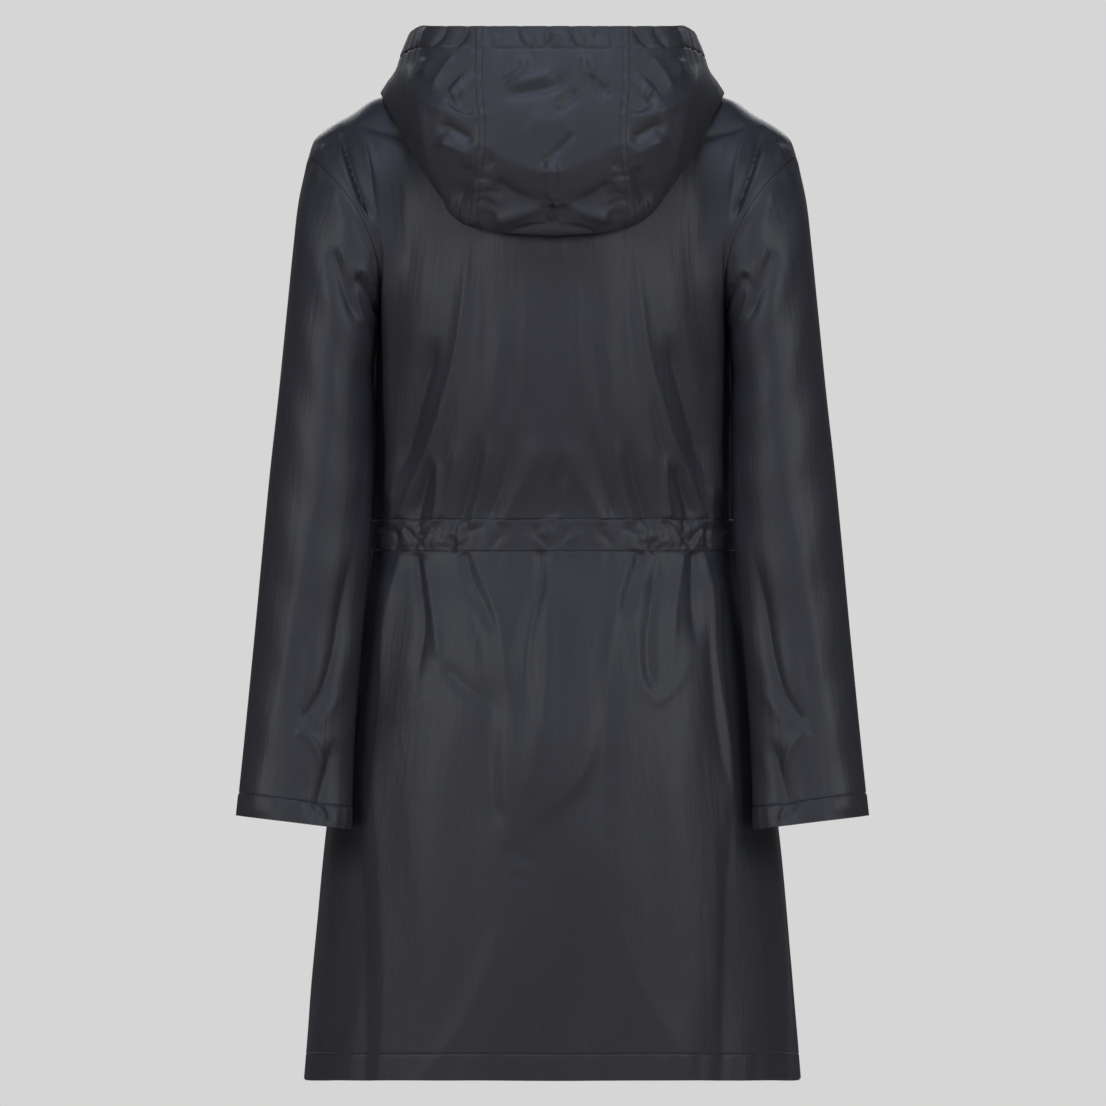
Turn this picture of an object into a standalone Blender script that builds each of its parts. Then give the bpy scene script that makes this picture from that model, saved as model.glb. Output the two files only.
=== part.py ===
"""Longline hooded rain parka in its worn, hollow shape.

Metres, +Z up. The origin is the centre of the neck base. The coat's front faces -Y and its
wearer's left arm is at +X. Every panel is a thin closed wall, 0.3 mm clear of its neighbours
at the seams. `turn` runs round the body: 0 at the centre back, 1 at the left side seam, 2 at
the centre front, and negative on the right. `down` runs along a panel: 0 at the neckline and
shoulder seam, 1 at the underarm, 2 at the hem.
"""

import math
from collections import namedtuple

import bmesh
import bpy
import numpy as np

# ---- driving sizes, metres ----
WALL = 0.0016              # cloth wall
HEM_WALL = 0.0026          # wall where a hem is turned up
SEAM_GAP = 0.0003          # clearance between neighbouring panels
HALF_SEAM = SEAM_GAP / 2
HEM_DEPTH = 0.025          # turned hem of the skirt and the cuffs
HOOD_CASING = 0.022        # turned casing round the hood's opening
UNDERARM_Z = -0.222
HEM_Z = -0.945
HEM_LIFT = 0.003           # how much the hem rises at the side seams
WAIST_TOP = -0.4175        # upper stitch line of the waist casing
WAIST_BOTTOM = -0.4475     # lower stitch line of the waist casing
CASING_WALL = 0.0010
CASING_GAP = 0.0008        # between the coat's wall and the strip inside it
YOKE_LENGTH = 0.20         # neckline to underarm, along the cloth
QUARTER_GIRTH = 0.25       # cloth in a quarter of the body's girth
SLEEVE_LENGTH = 0.62
HOOD_RADIUS = 0.10         # of its lying roll, on average
RING_POWER = 2.3           # squareness of the body's rings, 2 is an ellipse
FRONT_EDGE_X = 0.005       # half the gap between the two fronts, where the zip's chain shows
NECK_HALF_WIDTH = 0.080
NECK_BACK_Y = 0.066
NECK_FRONT_Y = -0.088
NECK_BACK_Z = -0.004
NECK_SIDE_Z = 0.004
NECK_FRONT_Z = -0.075
NECK_SHARE = 0.40          # part of a half panel's top edge that is neckline
HOOD_LIFT = 0.0006         # gap over the neckline edge at which the hood's seam starts
HOOD_STAND = 0.009         # height of the hood's stand before it turns out over the coat
HOOD_LIES_FROM = 115.0     # degrees round the hood where it stops lying over and starts to stand up
HOOD_BELLY_KNOT = 8        # knot of a rib that is its belly
HOOD_UNDER_GAP = 0.0045    # outer side of the hood's under layer, over the coat
HOOD_FOLD_GAP = 0.0110     # outer side of the hood's lower fold, over the coat, at the back
HOOD_FOLD_GAP_SIDE = 0.0060
HOOD_LOW_SWELL = 0.012     # how far the pouch swells out between its fold and its belly
HOOD_HIGH_SWELL = 0.004    # and between its belly and its edge
HOOD_SEAM_TURN = 22.5      # degrees round the hood of its two back seams
HOOD_FRONT_TURN = 176.0    # degrees round the hood of its front edges

# ---- sections ----
BodyRing = namedtuple("BodyRing", "z half_width back_y side_y front_y")
BODY_RINGS = [
    BodyRing(-0.222, 0.1615, 0.128, 0.008, -0.136),
    BodyRing(-0.245, 0.1645, 0.128, -0.004, -0.137),
    BodyRing(-0.285, 0.1688, 0.126, -0.024, -0.138),
    BodyRing(-0.350, 0.1715, 0.118, -0.032, -0.136),
    BodyRing(-0.4175, 0.1745, 0.103, -0.030, -0.126),
    BodyRing(-0.4475, 0.1765, 0.104, -0.030, -0.127),
    BodyRing(-0.500, 0.1830, 0.122, -0.030, -0.138),
    BodyRing(-0.590, 0.1960, 0.141, -0.029, -0.151),
    BodyRing(-0.710, 0.2128, 0.152, -0.027, -0.164),
    BodyRing(-0.830, 0.2240, 0.157, -0.025, -0.170),
    BodyRing(-0.945, 0.2334, 0.160, -0.023, -0.174),
]

ShoulderPoint = namedtuple("ShoulderPoint", "along x y z")
SHOULDER = [
    ShoulderPoint(0.00, 0.0800, 0.000, 0.0040),
    ShoulderPoint(0.28, 0.1240, 0.001, -0.0080),
    ShoulderPoint(0.50, 0.1600, 0.002, -0.0215),
    ShoulderPoint(0.70, 0.1900, 0.004, -0.0375),
    ShoulderPoint(0.84, 0.2120, 0.006, -0.0505),
    ShoulderPoint(0.93, 0.2240, 0.007, -0.0620),
    ShoulderPoint(1.00, 0.2290, 0.008, -0.0760),
]

SleeveRing = namedtuple("SleeveRing", "outer_x outer_z inner_x inner_z centre_y half_depth bow")
SLEEVE_RINGS = [
    SleeveRing(0.2290, -0.076, 0.1615, -0.222, 0.008, 0.071, 0.021),
    SleeveRing(0.2385, -0.118, 0.1668, -0.250, 0.012, 0.070, 0.012),
    SleeveRing(0.2440, -0.165, 0.1676, -0.282, 0.017, 0.068, 0.005),
    SleeveRing(0.2500, -0.225, 0.1676, -0.320, 0.022, 0.064, 0.000),
    SleeveRing(0.2575, -0.300, 0.1680, -0.365, 0.028, 0.061, 0.000),
    SleeveRing(0.2655, -0.372, 0.1700, -0.415, 0.034, 0.058, 0.000),
    SleeveRing(0.2725, -0.445, 0.1738, -0.475, 0.042, 0.055, 0.000),
    SleeveRing(0.2790, -0.515, 0.1790, -0.537, 0.050, 0.052, 0.000),
    SleeveRing(0.2855, -0.582, 0.1840, -0.600, 0.062, 0.049, 0.000),
    SleeveRing(0.2915, -0.642, 0.1870, -0.657, 0.073, 0.046, 0.000),
    SleeveRing(0.2972, -0.696, 0.1885, -0.709, 0.084, 0.044, 0.000),
]

HoodRib = namedtuple("HoodRib", "turn fold_across fold_over belly_x belly_y belly_z edge_x edge_y edge_z")
HOOD_RIBS = [
    HoodRib(0.0, 0.00, 0.650, 0.000, 0.170, -0.068, 0.000, 0.136, 0.046),
    HoodRib(22.5, 0.23, 0.630, 0.066, 0.167, -0.066, 0.0686, 0.132, 0.046),
    HoodRib(45.0, 0.46, 0.520, 0.110, 0.150, -0.050, 0.110, 0.112, 0.046),
    HoodRib(67.5, 0.64, 0.355, 0.136, 0.098, -0.022, 0.1245, 0.076, 0.0457),
    HoodRib(90.0, 0.71, 0.055, 0.1475, 0.032, 0.004, 0.135, 0.022, 0.036),
    HoodRib(112.5, 0.64, -0.140, 0.138, -0.046, -0.004, 0.118, -0.034, 0.026),
    HoodRib(135.0, 0.50, -0.160, 0.100, -0.092, -0.026, 0.086, -0.076, 0.012),
    HoodRib(157.5, 0.28, -0.100, 0.052, -0.108, -0.046, 0.046, -0.098, -0.002),
    HoodRib(176.0, 0.08, -0.020, 0.0085, -0.098, -0.048, 0.0080, -0.100, -0.012),
]

Fold = namedtuple("Fold", "x0 z0 x1 z1 width depth")
BACK_FOLDS = [
    Fold(0.080, -0.190, 0.098, -0.300, 0.018, 0.005),
    Fold(0.098, -0.300, 0.138, -0.412, 0.018, 0.006),
    Fold(-0.080, -0.190, -0.100, -0.290, 0.018, 0.005),
    Fold(-0.100, -0.290, -0.141, -0.412, 0.018, 0.006),
    Fold(0.072, -0.350, 0.076, -0.425, 0.016, -0.005),
    Fold(-0.068, -0.346, -0.078, -0.425, 0.016, -0.005),
    Fold(0.008, -0.451, 0.026, -0.594, 0.017, -0.006),
    Fold(0.124, -0.451, 0.122, -0.590, 0.016, -0.006),
    Fold(0.083, -0.456, 0.061, -0.528, 0.016, -0.005),
    Fold(-0.082, -0.453, -0.066, -0.530, 0.016, -0.005),
    Fold(-0.110, -0.453, -0.106, -0.580, 0.018, -0.006),
    Fold(0.058, -0.640, 0.030, -0.750, 0.030, -0.006),
    Fold(-0.035, -0.640, 0.028, -0.712, 0.026, -0.005),
    Fold(0.020, -0.800, 0.080, -0.945, 0.045, -0.006),
    Fold(0.020, -0.800, -0.070, -0.945, 0.045, -0.006),
]
FRONT_FOLDS = [
    Fold(0.092, -0.200, 0.110, -0.410, 0.020, 0.006),
    Fold(0.060, -0.340, 0.066, -0.425, 0.016, -0.005),
    Fold(0.128, -0.340, 0.132, -0.425, 0.016, -0.005),
    Fold(0.070, -0.453, 0.076, -0.600, 0.018, -0.006),
    Fold(0.120, -0.453, 0.132, -0.560, 0.018, -0.006),
    Fold(0.100, -0.660, 0.112, -0.945, 0.036, 0.007),
]
SLEEVE_FOLDS = [
    Fold(0.222, -0.150, 0.186, -0.235, 0.016, -0.005),
    Fold(0.190, -0.190, 0.205, -0.300, 0.016, 0.004),
    Fold(0.240, -0.610, 0.195, -0.575, 0.016, -0.006),
    Fold(0.250, -0.400, 0.200, -0.440, 0.022, -0.004),
]

# ---- zip; depths are under the fronts' outer surface ----
CHAIN_HALF_WIDTH = 0.003
CHAIN_FRONT = 0.0006
CHAIN_BACK = 0.0030
TAPE_INNER_X = 0.0033
TAPE_OUTER_X = 0.0160
TAPE_FRONT = 0.0033
TAPE_BACK = 0.0041
SLIDER_DOWN = 0.075        # `down` of the slider's middle
SLIDER_HALF_WIDTH = 0.0043
SLIDER_HALF_LENGTH = 0.0055
PLATE_FRONT = -0.0010
PLATE_BACK = 0.0003
REAR_PLATE_FRONT = 0.0044
REAR_PLATE_BACK = 0.0055
NECK_HALF_X = 0.0012
NECK_LOW = 0.0008          # the slider's neck starts here over its middle, the chain ends below it
BRIDGE_HALF_WIDTH = 0.0009
BRIDGE_HALF_LENGTH = 0.0036
BRIDGE_LEG = 0.0010
BRIDGE_UNDER = 0.0022      # over the slider's front plate
BRIDGE_TOP = 0.0030
PIN_HEIGHT = 0.0011        # hinge axis of the pull over the front plate
PIN_HALF = 0.0005
EYE_INNER_X = 0.0015
EYE_OUTER_X = 0.0026
EYE_LENGTH = 0.0056
PULL_HALF_WIDTH = 0.0032
PULL_LENGTH = 0.027

# ---- how finely the cloth is faceted ----
BODY_COLUMNS = 11          # on each half of the back and on each front
UPPER_ROWS = 8
LOWER_ROWS = (-0.275, -0.325, -0.370, WAIST_TOP, WAIST_BOTTOM, -0.485, -0.530, -0.580, -0.635, -0.695,
              -0.755, -0.815, -0.870, HEM_Z + HEM_DEPTH, HEM_Z)
SLEEVE_ROWS = 13
HOOD_CENTRE_COLUMNS = 6
HOOD_SIDE_COLUMNS = 13
HOOD_ROWS = (0.0, 0.035, 0.07, 0.15, 0.25, 0.35, 0.43, 0.485, 0.54, 0.61, 0.70, 0.80, 0.90, 1.0, 2.0)

MATERIALS = {
    "shell_cloth": ((0.040, 0.041, 0.050), 0.42, 0.0),
    "zip_cloth": ((0.025, 0.025, 0.028), 0.80, 0.0),
    "zip_coil": ((0.020, 0.020, 0.022), 0.35, 0.0),
    "zip_metal": ((0.10, 0.10, 0.11), 0.35, 1.0),
}


def clear_scene():
    for thing in list(bpy.data.objects):
        bpy.data.objects.remove(thing, do_unlink=True)


def material(name):
    colour, roughness, metallic = MATERIALS[name]
    made = bpy.data.materials.new(name)
    made.use_nodes = True
    shader = made.node_tree.nodes["Principled BSDF"]
    shader.inputs["Base Color"].default_value = (*colour, 1.0)
    shader.inputs["Roughness"].default_value = roughness
    shader.inputs["Metallic"].default_value = metallic
    return made


# ---- small mathematics ----
def smooth_track(at, places, values):
    """Values along a table, joined by a smooth curve (cubic Hermite)."""
    places = np.asarray(places, float)
    values = np.asarray(values, float)
    slopes = np.gradient(values, places)
    at = np.clip(at, places.min(), places.max())
    i = np.clip(np.searchsorted(places, at, side="right") - 1, 0, len(places) - 2)
    span = places[i + 1] - places[i]
    t = (at - places[i]) / span
    return ((2 * t**3 - 3 * t**2 + 1) * values[i]
            + (t**3 - 2 * t**2 + t) * span * slopes[i]
            + (3 * t**2 - 2 * t**3) * values[i + 1]
            + (t**3 - t**2) * span * slopes[i + 1])


def column(table, name):
    return np.array([getattr(row, name) for row in table])


def smooth_step(at, low, high):
    """0 at low, 1 at high, eased at both ends; low may be the larger."""
    t = np.clip((at - low) / (high - low), 0.0, 1.0)
    return t * t * (3 - 2 * t)


def signed_power(value, power):
    return np.sign(value) * np.abs(value) ** power


def stack(x, y, z):
    return np.stack(np.broadcast_arrays(x, y, z), axis=-1)


def fold_height(x, z, folds):
    """Height of straight soft ridges and troughs at a place seen square on."""
    height = np.zeros(np.broadcast(x, z).shape)
    for fold in folds:
        run = np.array([fold.x1 - fold.x0, fold.z1 - fold.z0])
        length = np.hypot(*run)
        along = ((x - fold.x0) * run[0] + (z - fold.z0) * run[1]) / length
        aside = ((x - fold.x0) * run[1] - (z - fold.z0) * run[0]) / length
        beyond = np.maximum(np.maximum(-along, along - length), 0.0)
        height += fold.depth * np.exp(-(aside / fold.width) ** 2 - (beyond / (1.3 * fold.width)) ** 2)
    return height


# ---- the body's surface ----
def body_ring(turn, z):
    """Point of the body's tube below the underarm."""
    order = slice(None, None, -1)
    heights = column(BODY_RINGS, "z")[order]

    def size(name):
        return smooth_track(z, heights, column(BODY_RINGS, name)[order])

    angle = np.radians(90.0 * (1.0 - turn))
    across = signed_power(np.cos(angle), 2 / RING_POWER)
    deep = signed_power(np.sin(angle), 2 / RING_POWER)
    side = size("side_y")
    reach = np.where(deep >= 0, size("back_y") - side, side - size("front_y"))
    return stack(size("half_width") * across, side + reach * deep, z)


def armhole(down, facing):
    """The armhole seam from the shoulder tip to the underarm; facing is 1 behind, -1 in front."""
    return sleeve_ring(SLEEVE_RINGS[0], 180.0 * down, facing)


def sleeve_ring(ring, degrees, facing=1.0):
    angle = np.radians(degrees)
    chord = np.array([ring.outer_x - ring.inner_x, 0.0, ring.outer_z - ring.inner_z])
    middle = np.array([(ring.outer_x + ring.inner_x) / 2, ring.centre_y, (ring.outer_z + ring.inner_z) / 2])
    inward = np.array([-chord[2], 0.0, chord[0]]) / np.hypot(chord[0], chord[2])
    deep = np.array([0.0, ring.half_depth, 0.0])
    cos = np.cos(angle)[..., None]
    sin = np.sin(angle)[..., None]
    return middle + chord / 2 * cos + deep * sin * np.asarray(facing)[..., None] + inward * ring.bow * sin**2


def top_edge(across, facing):
    """Neckline and shoulder seam; across is 0 at the centre line and 1 at the shoulder tip."""
    round_neck = np.radians(90.0 * np.clip(across / NECK_SHARE, 0.0, 1.0))
    neck_y = np.where(facing > 0, NECK_BACK_Y, NECK_FRONT_Y) * np.cos(round_neck)
    neck_end_z = np.where(facing > 0, NECK_BACK_Z, NECK_FRONT_Z)
    neck_z = NECK_SIDE_Z + (neck_end_z - NECK_SIDE_Z) * (1 - np.sin(round_neck))
    neck = stack(NECK_HALF_WIDTH * np.sin(round_neck), neck_y, neck_z)
    along = (across - NECK_SHARE) / (1 - NECK_SHARE)
    places = column(SHOULDER, "along")
    seam = stack(*(smooth_track(along, places, column(SHOULDER, name)) for name in "xyz"))
    return np.where((across <= NECK_SHARE)[..., None], neck, seam)


def upper_body(turn, down):
    """Yoke of the coat between its top edge and the underarm ring."""
    turn, down = np.broadcast_arrays(np.asarray(turn, float), np.asarray(down, float))
    hand = np.where(turn < 0, -1.0, 1.0)
    facing = np.where(np.abs(turn) <= 1.0, 1.0, -1.0)
    across = np.where(facing > 0, np.abs(turn), 2.0 - np.abs(turn))
    top = top_edge(across, facing)
    chest = body_ring(np.abs(turn), np.full(turn.shape, UNDERARM_Z))
    one = np.ones(turn.shape)
    tip = top_edge(one, facing)
    pit = body_ring(one, np.full(turn.shape, UNDERARM_Z))

    def ease(share):
        return down ** (1.0 + 0.45 * smooth_step(share, 0.1, 0.8))

    base = top + (chest - top) * ease(across)[..., None]
    side_base = tip + (pit - tip) * ease(one)[..., None]
    drawn = armhole(down, facing) - side_base
    weight = stack(across**3, 0.30 + 0.70 * across**2, across**2)
    point = base + drawn * weight
    point[..., 0] *= hand
    return point


def coat(turn, down):
    """Outer surface of the coat's body, without folds."""
    turn, down = np.broadcast_arrays(np.asarray(turn, float), np.asarray(down, float))
    yoke = upper_body(turn, np.clip(down, 0.0, 1.0))
    lift = HEM_LIFT * smooth_step(np.abs(np.cos(np.radians(90.0 * (1 - turn)))), 0.985, 1.0)
    lift = lift * smooth_step(down, 1.93, 2.0)
    z = UNDERARM_Z + (HEM_Z - UNDERARM_Z) * np.clip(down - 1.0, 0.0, 1.0) + lift
    hand = np.where(turn < 0, -1.0, 1.0)
    skirt = body_ring(np.abs(turn), z)
    skirt[..., 0] *= hand
    return np.where((down <= 1.0)[..., None], yoke, skirt)


def one_sided(turn, down, step):
    """The place `step` further round, kept on its own side of an armhole and of the centre front."""
    moved = turn + step
    behind = np.abs(turn) <= 1.0
    hand = np.where(turn < 0, -1.0, 1.0)
    inside = np.where(behind, np.clip(moved, -1.0, 1.0), hand * np.clip(np.abs(moved), 1.0 + 1e-9, 2.0))
    return np.where(down < 1.0, inside, np.clip(moved, -2.0, 2.0))


def plain_normal(turn, down):
    """Unit normal of the coat's surface, pointing out."""
    step = 1e-3
    by_turn = coat(one_sided(turn, down, step), down) - coat(one_sided(turn, down, -step), down)
    by_down = coat(turn, down + step) - coat(turn, np.maximum(down - step, 0.0))
    return unit(np.cross(by_turn, by_down))


def coat_normal(turn, down):
    """Unit normal, shared by the panels that meet at the shoulder seam and at the armhole."""
    turn, down = np.broadcast_arrays(np.asarray(turn, float), np.asarray(down, float))
    normal = plain_normal(turn, down)
    hand = np.where(turn < 0, -1.0, 1.0)
    across = np.where(np.abs(turn) <= 1.0, np.abs(turn), 2.0 - np.abs(turn))
    facing = np.where(np.abs(turn) <= 1.0, 1.0, -1.0)
    other = plain_normal(hand * (2.0 - np.abs(turn)), down)
    at_shoulder = (down < 0.01) & (across > NECK_SHARE)
    normal = np.where(at_shoulder[..., None], unit(normal + other), normal)
    at_armhole = (across > 0.99) & (down < 1.0 - 1e-6)
    flip = stack(hand, 1.0, 1.0)
    return np.where(at_armhole[..., None], unit(normal + sleeve_top_normal(down, facing) * flip), normal)


def unit(vectors):
    return vectors / np.maximum(np.linalg.norm(vectors, axis=-1, keepdims=True), 1e-12)


def sleeve_top_normal(down, facing):
    """Normal of the left sleeve where it meets the armhole."""
    degrees = 180.0 * down
    ring = SLEEVE_RINGS[0]
    step = 0.5
    along_ring = sleeve_ring(ring, degrees + step, facing) - sleeve_ring(ring, degrees - step, facing)
    along_sleeve = sleeve_ring(SLEEVE_RINGS[1], degrees, facing) - sleeve_ring(ring, degrees, facing)
    return unit(np.cross(along_ring, along_sleeve)) * np.asarray(facing)[..., None] * -1.0


# ---- turning a grid of points into a closed wall ----
def wall_object(name, outer, inner, slot, hand=1.0, closed_columns=False, smooth=True):
    """A closed wall between two grids of points, mirrored in X where hand is -1. Both layers are
    split along the same diagonals, and these are mirrored about the centre line."""
    rows, columns = outer.shape[:2]
    mesh = bpy.data.meshes.new(name)
    shape = bmesh.new()
    flip = np.array([hand, 1.0, 1.0])
    layers = []
    for layer in (outer * flip, inner * flip):
        layers.append([[shape.verts.new(layer[i, j]) for j in range(columns)] for i in range(rows)])
    last = columns if closed_columns else columns - 1
    for grid in layers:
        for i in range(rows - 1):
            for j in range(last):
                k = (j + 1) % columns
                corners = [grid[i][j], grid[i][k], grid[i + 1][k], grid[i + 1][j]]
                if outer[i, j, 0] + outer[i, k, 0] < 0:
                    corners = corners[1:] + corners[:1]
                shape.faces.new(corners[:3])
                shape.faces.new([corners[0], corners[2], corners[3]])
    top, under = layers
    for i in (0, rows - 1):
        for j in range(last):
            k = (j + 1) % columns
            shape.faces.new([top[i][j], top[i][k], under[i][k], under[i][j]])
    if not closed_columns:
        for j in (0, columns - 1):
            for i in range(rows - 1):
                shape.faces.new([top[i][j], top[i + 1][j], under[i + 1][j], under[i][j]])
    bmesh.ops.recalc_face_normals(shape, faces=shape.faces)
    shape.to_mesh(mesh)
    shape.free()
    if smooth:
        mesh.shade_smooth()
        mesh.set_sharp_from_angle(angle=math.radians(50))
    mesh.materials.append(material(slot))
    made = bpy.data.objects.new(name, mesh)
    bpy.context.collection.objects.link(made)
    return made


# ---- the body panels ----
def folded_coat(turn, down):
    """Outer surface of the coat with its large folds, and its normals."""
    points = coat(turn, down)
    normals = coat_normal(turn, down)
    across = np.where(np.abs(turn) <= 1.0, np.abs(turn), 2.0 - np.abs(turn))
    calm = smooth_step(down, 0.55, 0.95) * (1.0 - smooth_step(across, 0.86, 1.0))
    x, z = points[..., 0], points[..., 2]
    behind = fold_height(x, z, BACK_FOLDS)
    before = fold_height(np.abs(x), z, FRONT_FOLDS) * smooth_step(np.abs(x), 0.02, 0.05)
    height = np.where(np.abs(turn) <= 1.0, behind, before) * calm
    return points + normals * height[..., None], normals


def body_wall(name, turns, downs, hand=1.0):
    """A body panel; a front keeps clear of the zip."""
    turn, down = np.meshgrid(turns, downs)
    outer, normals = folded_coat(turn, down)
    if turn.max() > 1.5:
        outer[..., 0] += FRONT_EDGE_X * (1.0 - smooth_step(outer[..., 0], 0.0, 0.03))
    inner = outer - normals * hem_thickness(down)[..., None]
    return wall_object(name, outer, inner, "shell_cloth", hand)


def hem_thickness(down):
    return np.where(down > down_at(HEM_Z + HEM_DEPTH) - 1e-6, HEM_WALL, WALL)


def down_at(z):
    return 1.0 + (UNDERARM_Z - z) / (UNDERARM_Z - HEM_Z)


def body_downs():
    upper = [i / UPPER_ROWS for i in range(UPPER_ROWS + 1)]
    upper[0] = HALF_SEAM / YOKE_LENGTH
    return np.array(upper + [down_at(z) for z in LOWER_ROWS])


def back_panel():
    side = 1.0 - HALF_SEAM / QUARTER_GIRTH
    turns = np.linspace(-side, side, 2 * BODY_COLUMNS + 1)
    return body_wall("back", turns, body_downs())


def front_panel(name, hand):
    side = 1.0 + HALF_SEAM / QUARTER_GIRTH
    turns = np.linspace(side, 2.0, BODY_COLUMNS + 1)
    return body_wall(name, turns, body_downs(), hand)


# ---- the sleeves ----
def sleeve_grid(rows, degrees):
    """Rows of sleeve rings from the armhole (0) to the cuff (1)."""
    places = np.linspace(0.0, 1.0, len(SLEEVE_RINGS))
    sizes = {name: smooth_track(rows, places, column(SLEEVE_RINGS, name)) for name in SleeveRing._fields}
    rings = []
    for i in range(len(rows)):
        ring = SleeveRing(**{name: sizes[name][i] for name in SleeveRing._fields})
        rings.append(sleeve_ring(ring, degrees))
    return np.array(rings)


def sleeve(name, hand):
    rows = np.linspace(0.0, 1.0, SLEEVE_ROWS + 1)
    hem_share = HEM_DEPTH / SLEEVE_LENGTH
    rows = np.sort(np.append(rows, 1.0 - hem_share))
    degrees = np.arange(0, 360, 180 / UPPER_ROWS)
    points = sleeve_grid(rows, degrees)
    centre = points.mean(axis=1, keepdims=True)
    outward = points - centre
    normals = np.cross(np.gradient(points, axis=0), np.roll(points, -1, 1) - np.roll(points, 1, 1))
    normals /= np.linalg.norm(normals, axis=2, keepdims=True)
    normals *= np.sign(np.sum(normals * outward, axis=2).mean())
    calm = smooth_step(rows, 0.02, 0.12)[:, None]
    height = fold_height(points[..., 0], points[..., 2], SLEEVE_FOLDS) * calm
    points = points + normals * height[..., None]
    facing = np.where(degrees <= 180, 1.0, -1.0)
    down = np.where(degrees <= 180, degrees, 360 - degrees) / 180.0
    turn = np.where(facing > 0, 1.0, 1.0 + 1e-9)
    normals[0] = np.where((down < 1.0)[:, None], coat_normal(turn, down), normals[0])
    clear = unit(np.cross(np.roll(points[0], -1, 0) - np.roll(points[0], 1, 0), normals[0]))
    points[0] += clear * np.sign(clear[:, :1]) * SEAM_GAP
    thickness = np.where(rows > 1.0 - hem_share - 1e-6, HEM_WALL, WALL)[:, None, None]
    return wall_object(name, points, points - normals * thickness, "shell_cloth", hand, closed_columns=True)


# ---- the hood ----
def hood_value(turn, name):
    return smooth_track(turn, column(HOOD_RIBS, "turn"), column(HOOD_RIBS, name))


def off_coat(across, over, off):
    """A place `off` outside the coat: `over` the shoulder is positive behind, negative in front."""
    behind = over >= 0
    turn = np.where(behind, across, 2.0 - across)
    return coat(turn, np.abs(over)) + coat_normal(turn, np.abs(over)) * np.asarray(off)[..., None]


def hood_rib(turn, rows):
    """One rib of the lying hood: rows 0 to 1 go from its neckline seam, out to its fold and up
    to its casing's stitch line, and rows 1 to 2 across the casing to its edge."""
    facing = 1.0 if turn <= 90.0 else -1.0
    start = NECK_SHARE * (1.0 - abs(90.0 - turn) / 90.0)
    fold_across = hood_value(turn, "fold_across")
    fold_over = hood_value(turn, "fold_over")
    seam = off_coat(np.array([start]), np.array([facing * 1e-9]), [0.0])[0]
    neck_out = unit(np.array([seam[0], seam[1], 0.0]))
    up = np.array([0.0, 0.0, 1.0])
    knots = [seam + up * HOOD_LIFT, seam + up * HOOD_STAND]
    knots.append(seam + up * (HOOD_STAND + 0.003) + neck_out * 0.008)
    shares = np.array([0.30, 0.62, 0.90])
    across = start + (fold_across - start) * shares
    knots.extend(off_coat(across, facing * 0.02 + fold_over * shares, np.full(3, HOOD_UNDER_GAP)))
    fold_gap = HOOD_FOLD_GAP + (HOOD_FOLD_GAP_SIDE - HOOD_FOLD_GAP) * smooth_step(turn, 30.0, 80.0)
    knots.extend(off_coat(np.array([fold_across]), np.array([fold_over + facing * 0.03]), [fold_gap]))
    belly = np.array([hood_value(turn, "belly_" + axis) for axis in "xyz"])
    edge = np.array([hood_value(turn, "edge_" + axis) for axis in "xyz"])
    swell = 1.0 - 0.9 * smooth_step(turn, 30.0, 90.0)
    knots.append(knots[-1] * 0.55 + belly * 0.45 + neck_out * HOOD_LOW_SWELL * swell)
    knots.append(belly)
    knots.append(belly * 0.45 + edge * 0.55 + neck_out * HOOD_HIGH_SWELL * swell)
    knots.append(edge)
    knots = np.array(knots)
    straight = knots[0] + (belly - knots[0]) * (np.arange(len(knots)) / HOOD_BELLY_KNOT)[:, None]
    lying = smooth_step(turn, HOOD_FRONT_TURN, HOOD_LIES_FROM)
    knots[:HOOD_BELLY_KNOT] += (straight - knots)[:HOOD_BELLY_KNOT] * (1.0 - lying)
    places = np.append(0.0, np.cumsum(np.linalg.norm(np.diff(knots, axis=0), axis=1)))
    casing_start = places[-1] - HOOD_CASING
    at = np.where(rows <= 1.0, rows * casing_start, casing_start + (rows - 1.0) * HOOD_CASING)
    return stack(*(smooth_track(at, places, knots[:, axis]) for axis in range(3)))


def hood_points(turns, rows):
    """Outer surface of the hood; turns below 0 mirror those above."""
    ribs = [hood_rib(abs(turn), rows) * np.array([1.0 if turn >= 0 else -1.0, 1.0, 1.0]) for turn in turns]
    return np.array(ribs).transpose(1, 0, 2)


def hood_wall(name, turns, hand=1.0):
    rows = np.array(HOOD_ROWS)
    turn_step, row_step = 0.5, 0.004
    last = HOOD_ROWS[-1]
    points = hood_points(turns, rows)
    round_hood = hood_points(turns + turn_step, rows) - hood_points(turns - turn_step, rows)
    up_rib = (hood_points(turns, np.minimum(rows + row_step, last))
              - hood_points(turns, np.maximum(rows - row_step, 0.0)))
    normals = unit(np.cross(up_rib, round_hood))
    thickness = np.where(rows >= 1.0, HEM_WALL, WALL)[:, None, None]
    return wall_object(name, points, points - normals * thickness, "shell_cloth", hand)


def hood():
    gap = math.degrees(HALF_SEAM / HOOD_RADIUS)
    seam = HOOD_SEAM_TURN
    hood_wall("hood_centre", np.linspace(gap - seam, seam - gap, HOOD_CENTRE_COLUMNS + 1))
    side = np.linspace(seam + gap, HOOD_FRONT_TURN, HOOD_SIDE_COLUMNS + 1)
    hood_wall("hood_side_left", side)
    hood_wall("hood_side_right", side, -1.0)


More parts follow.
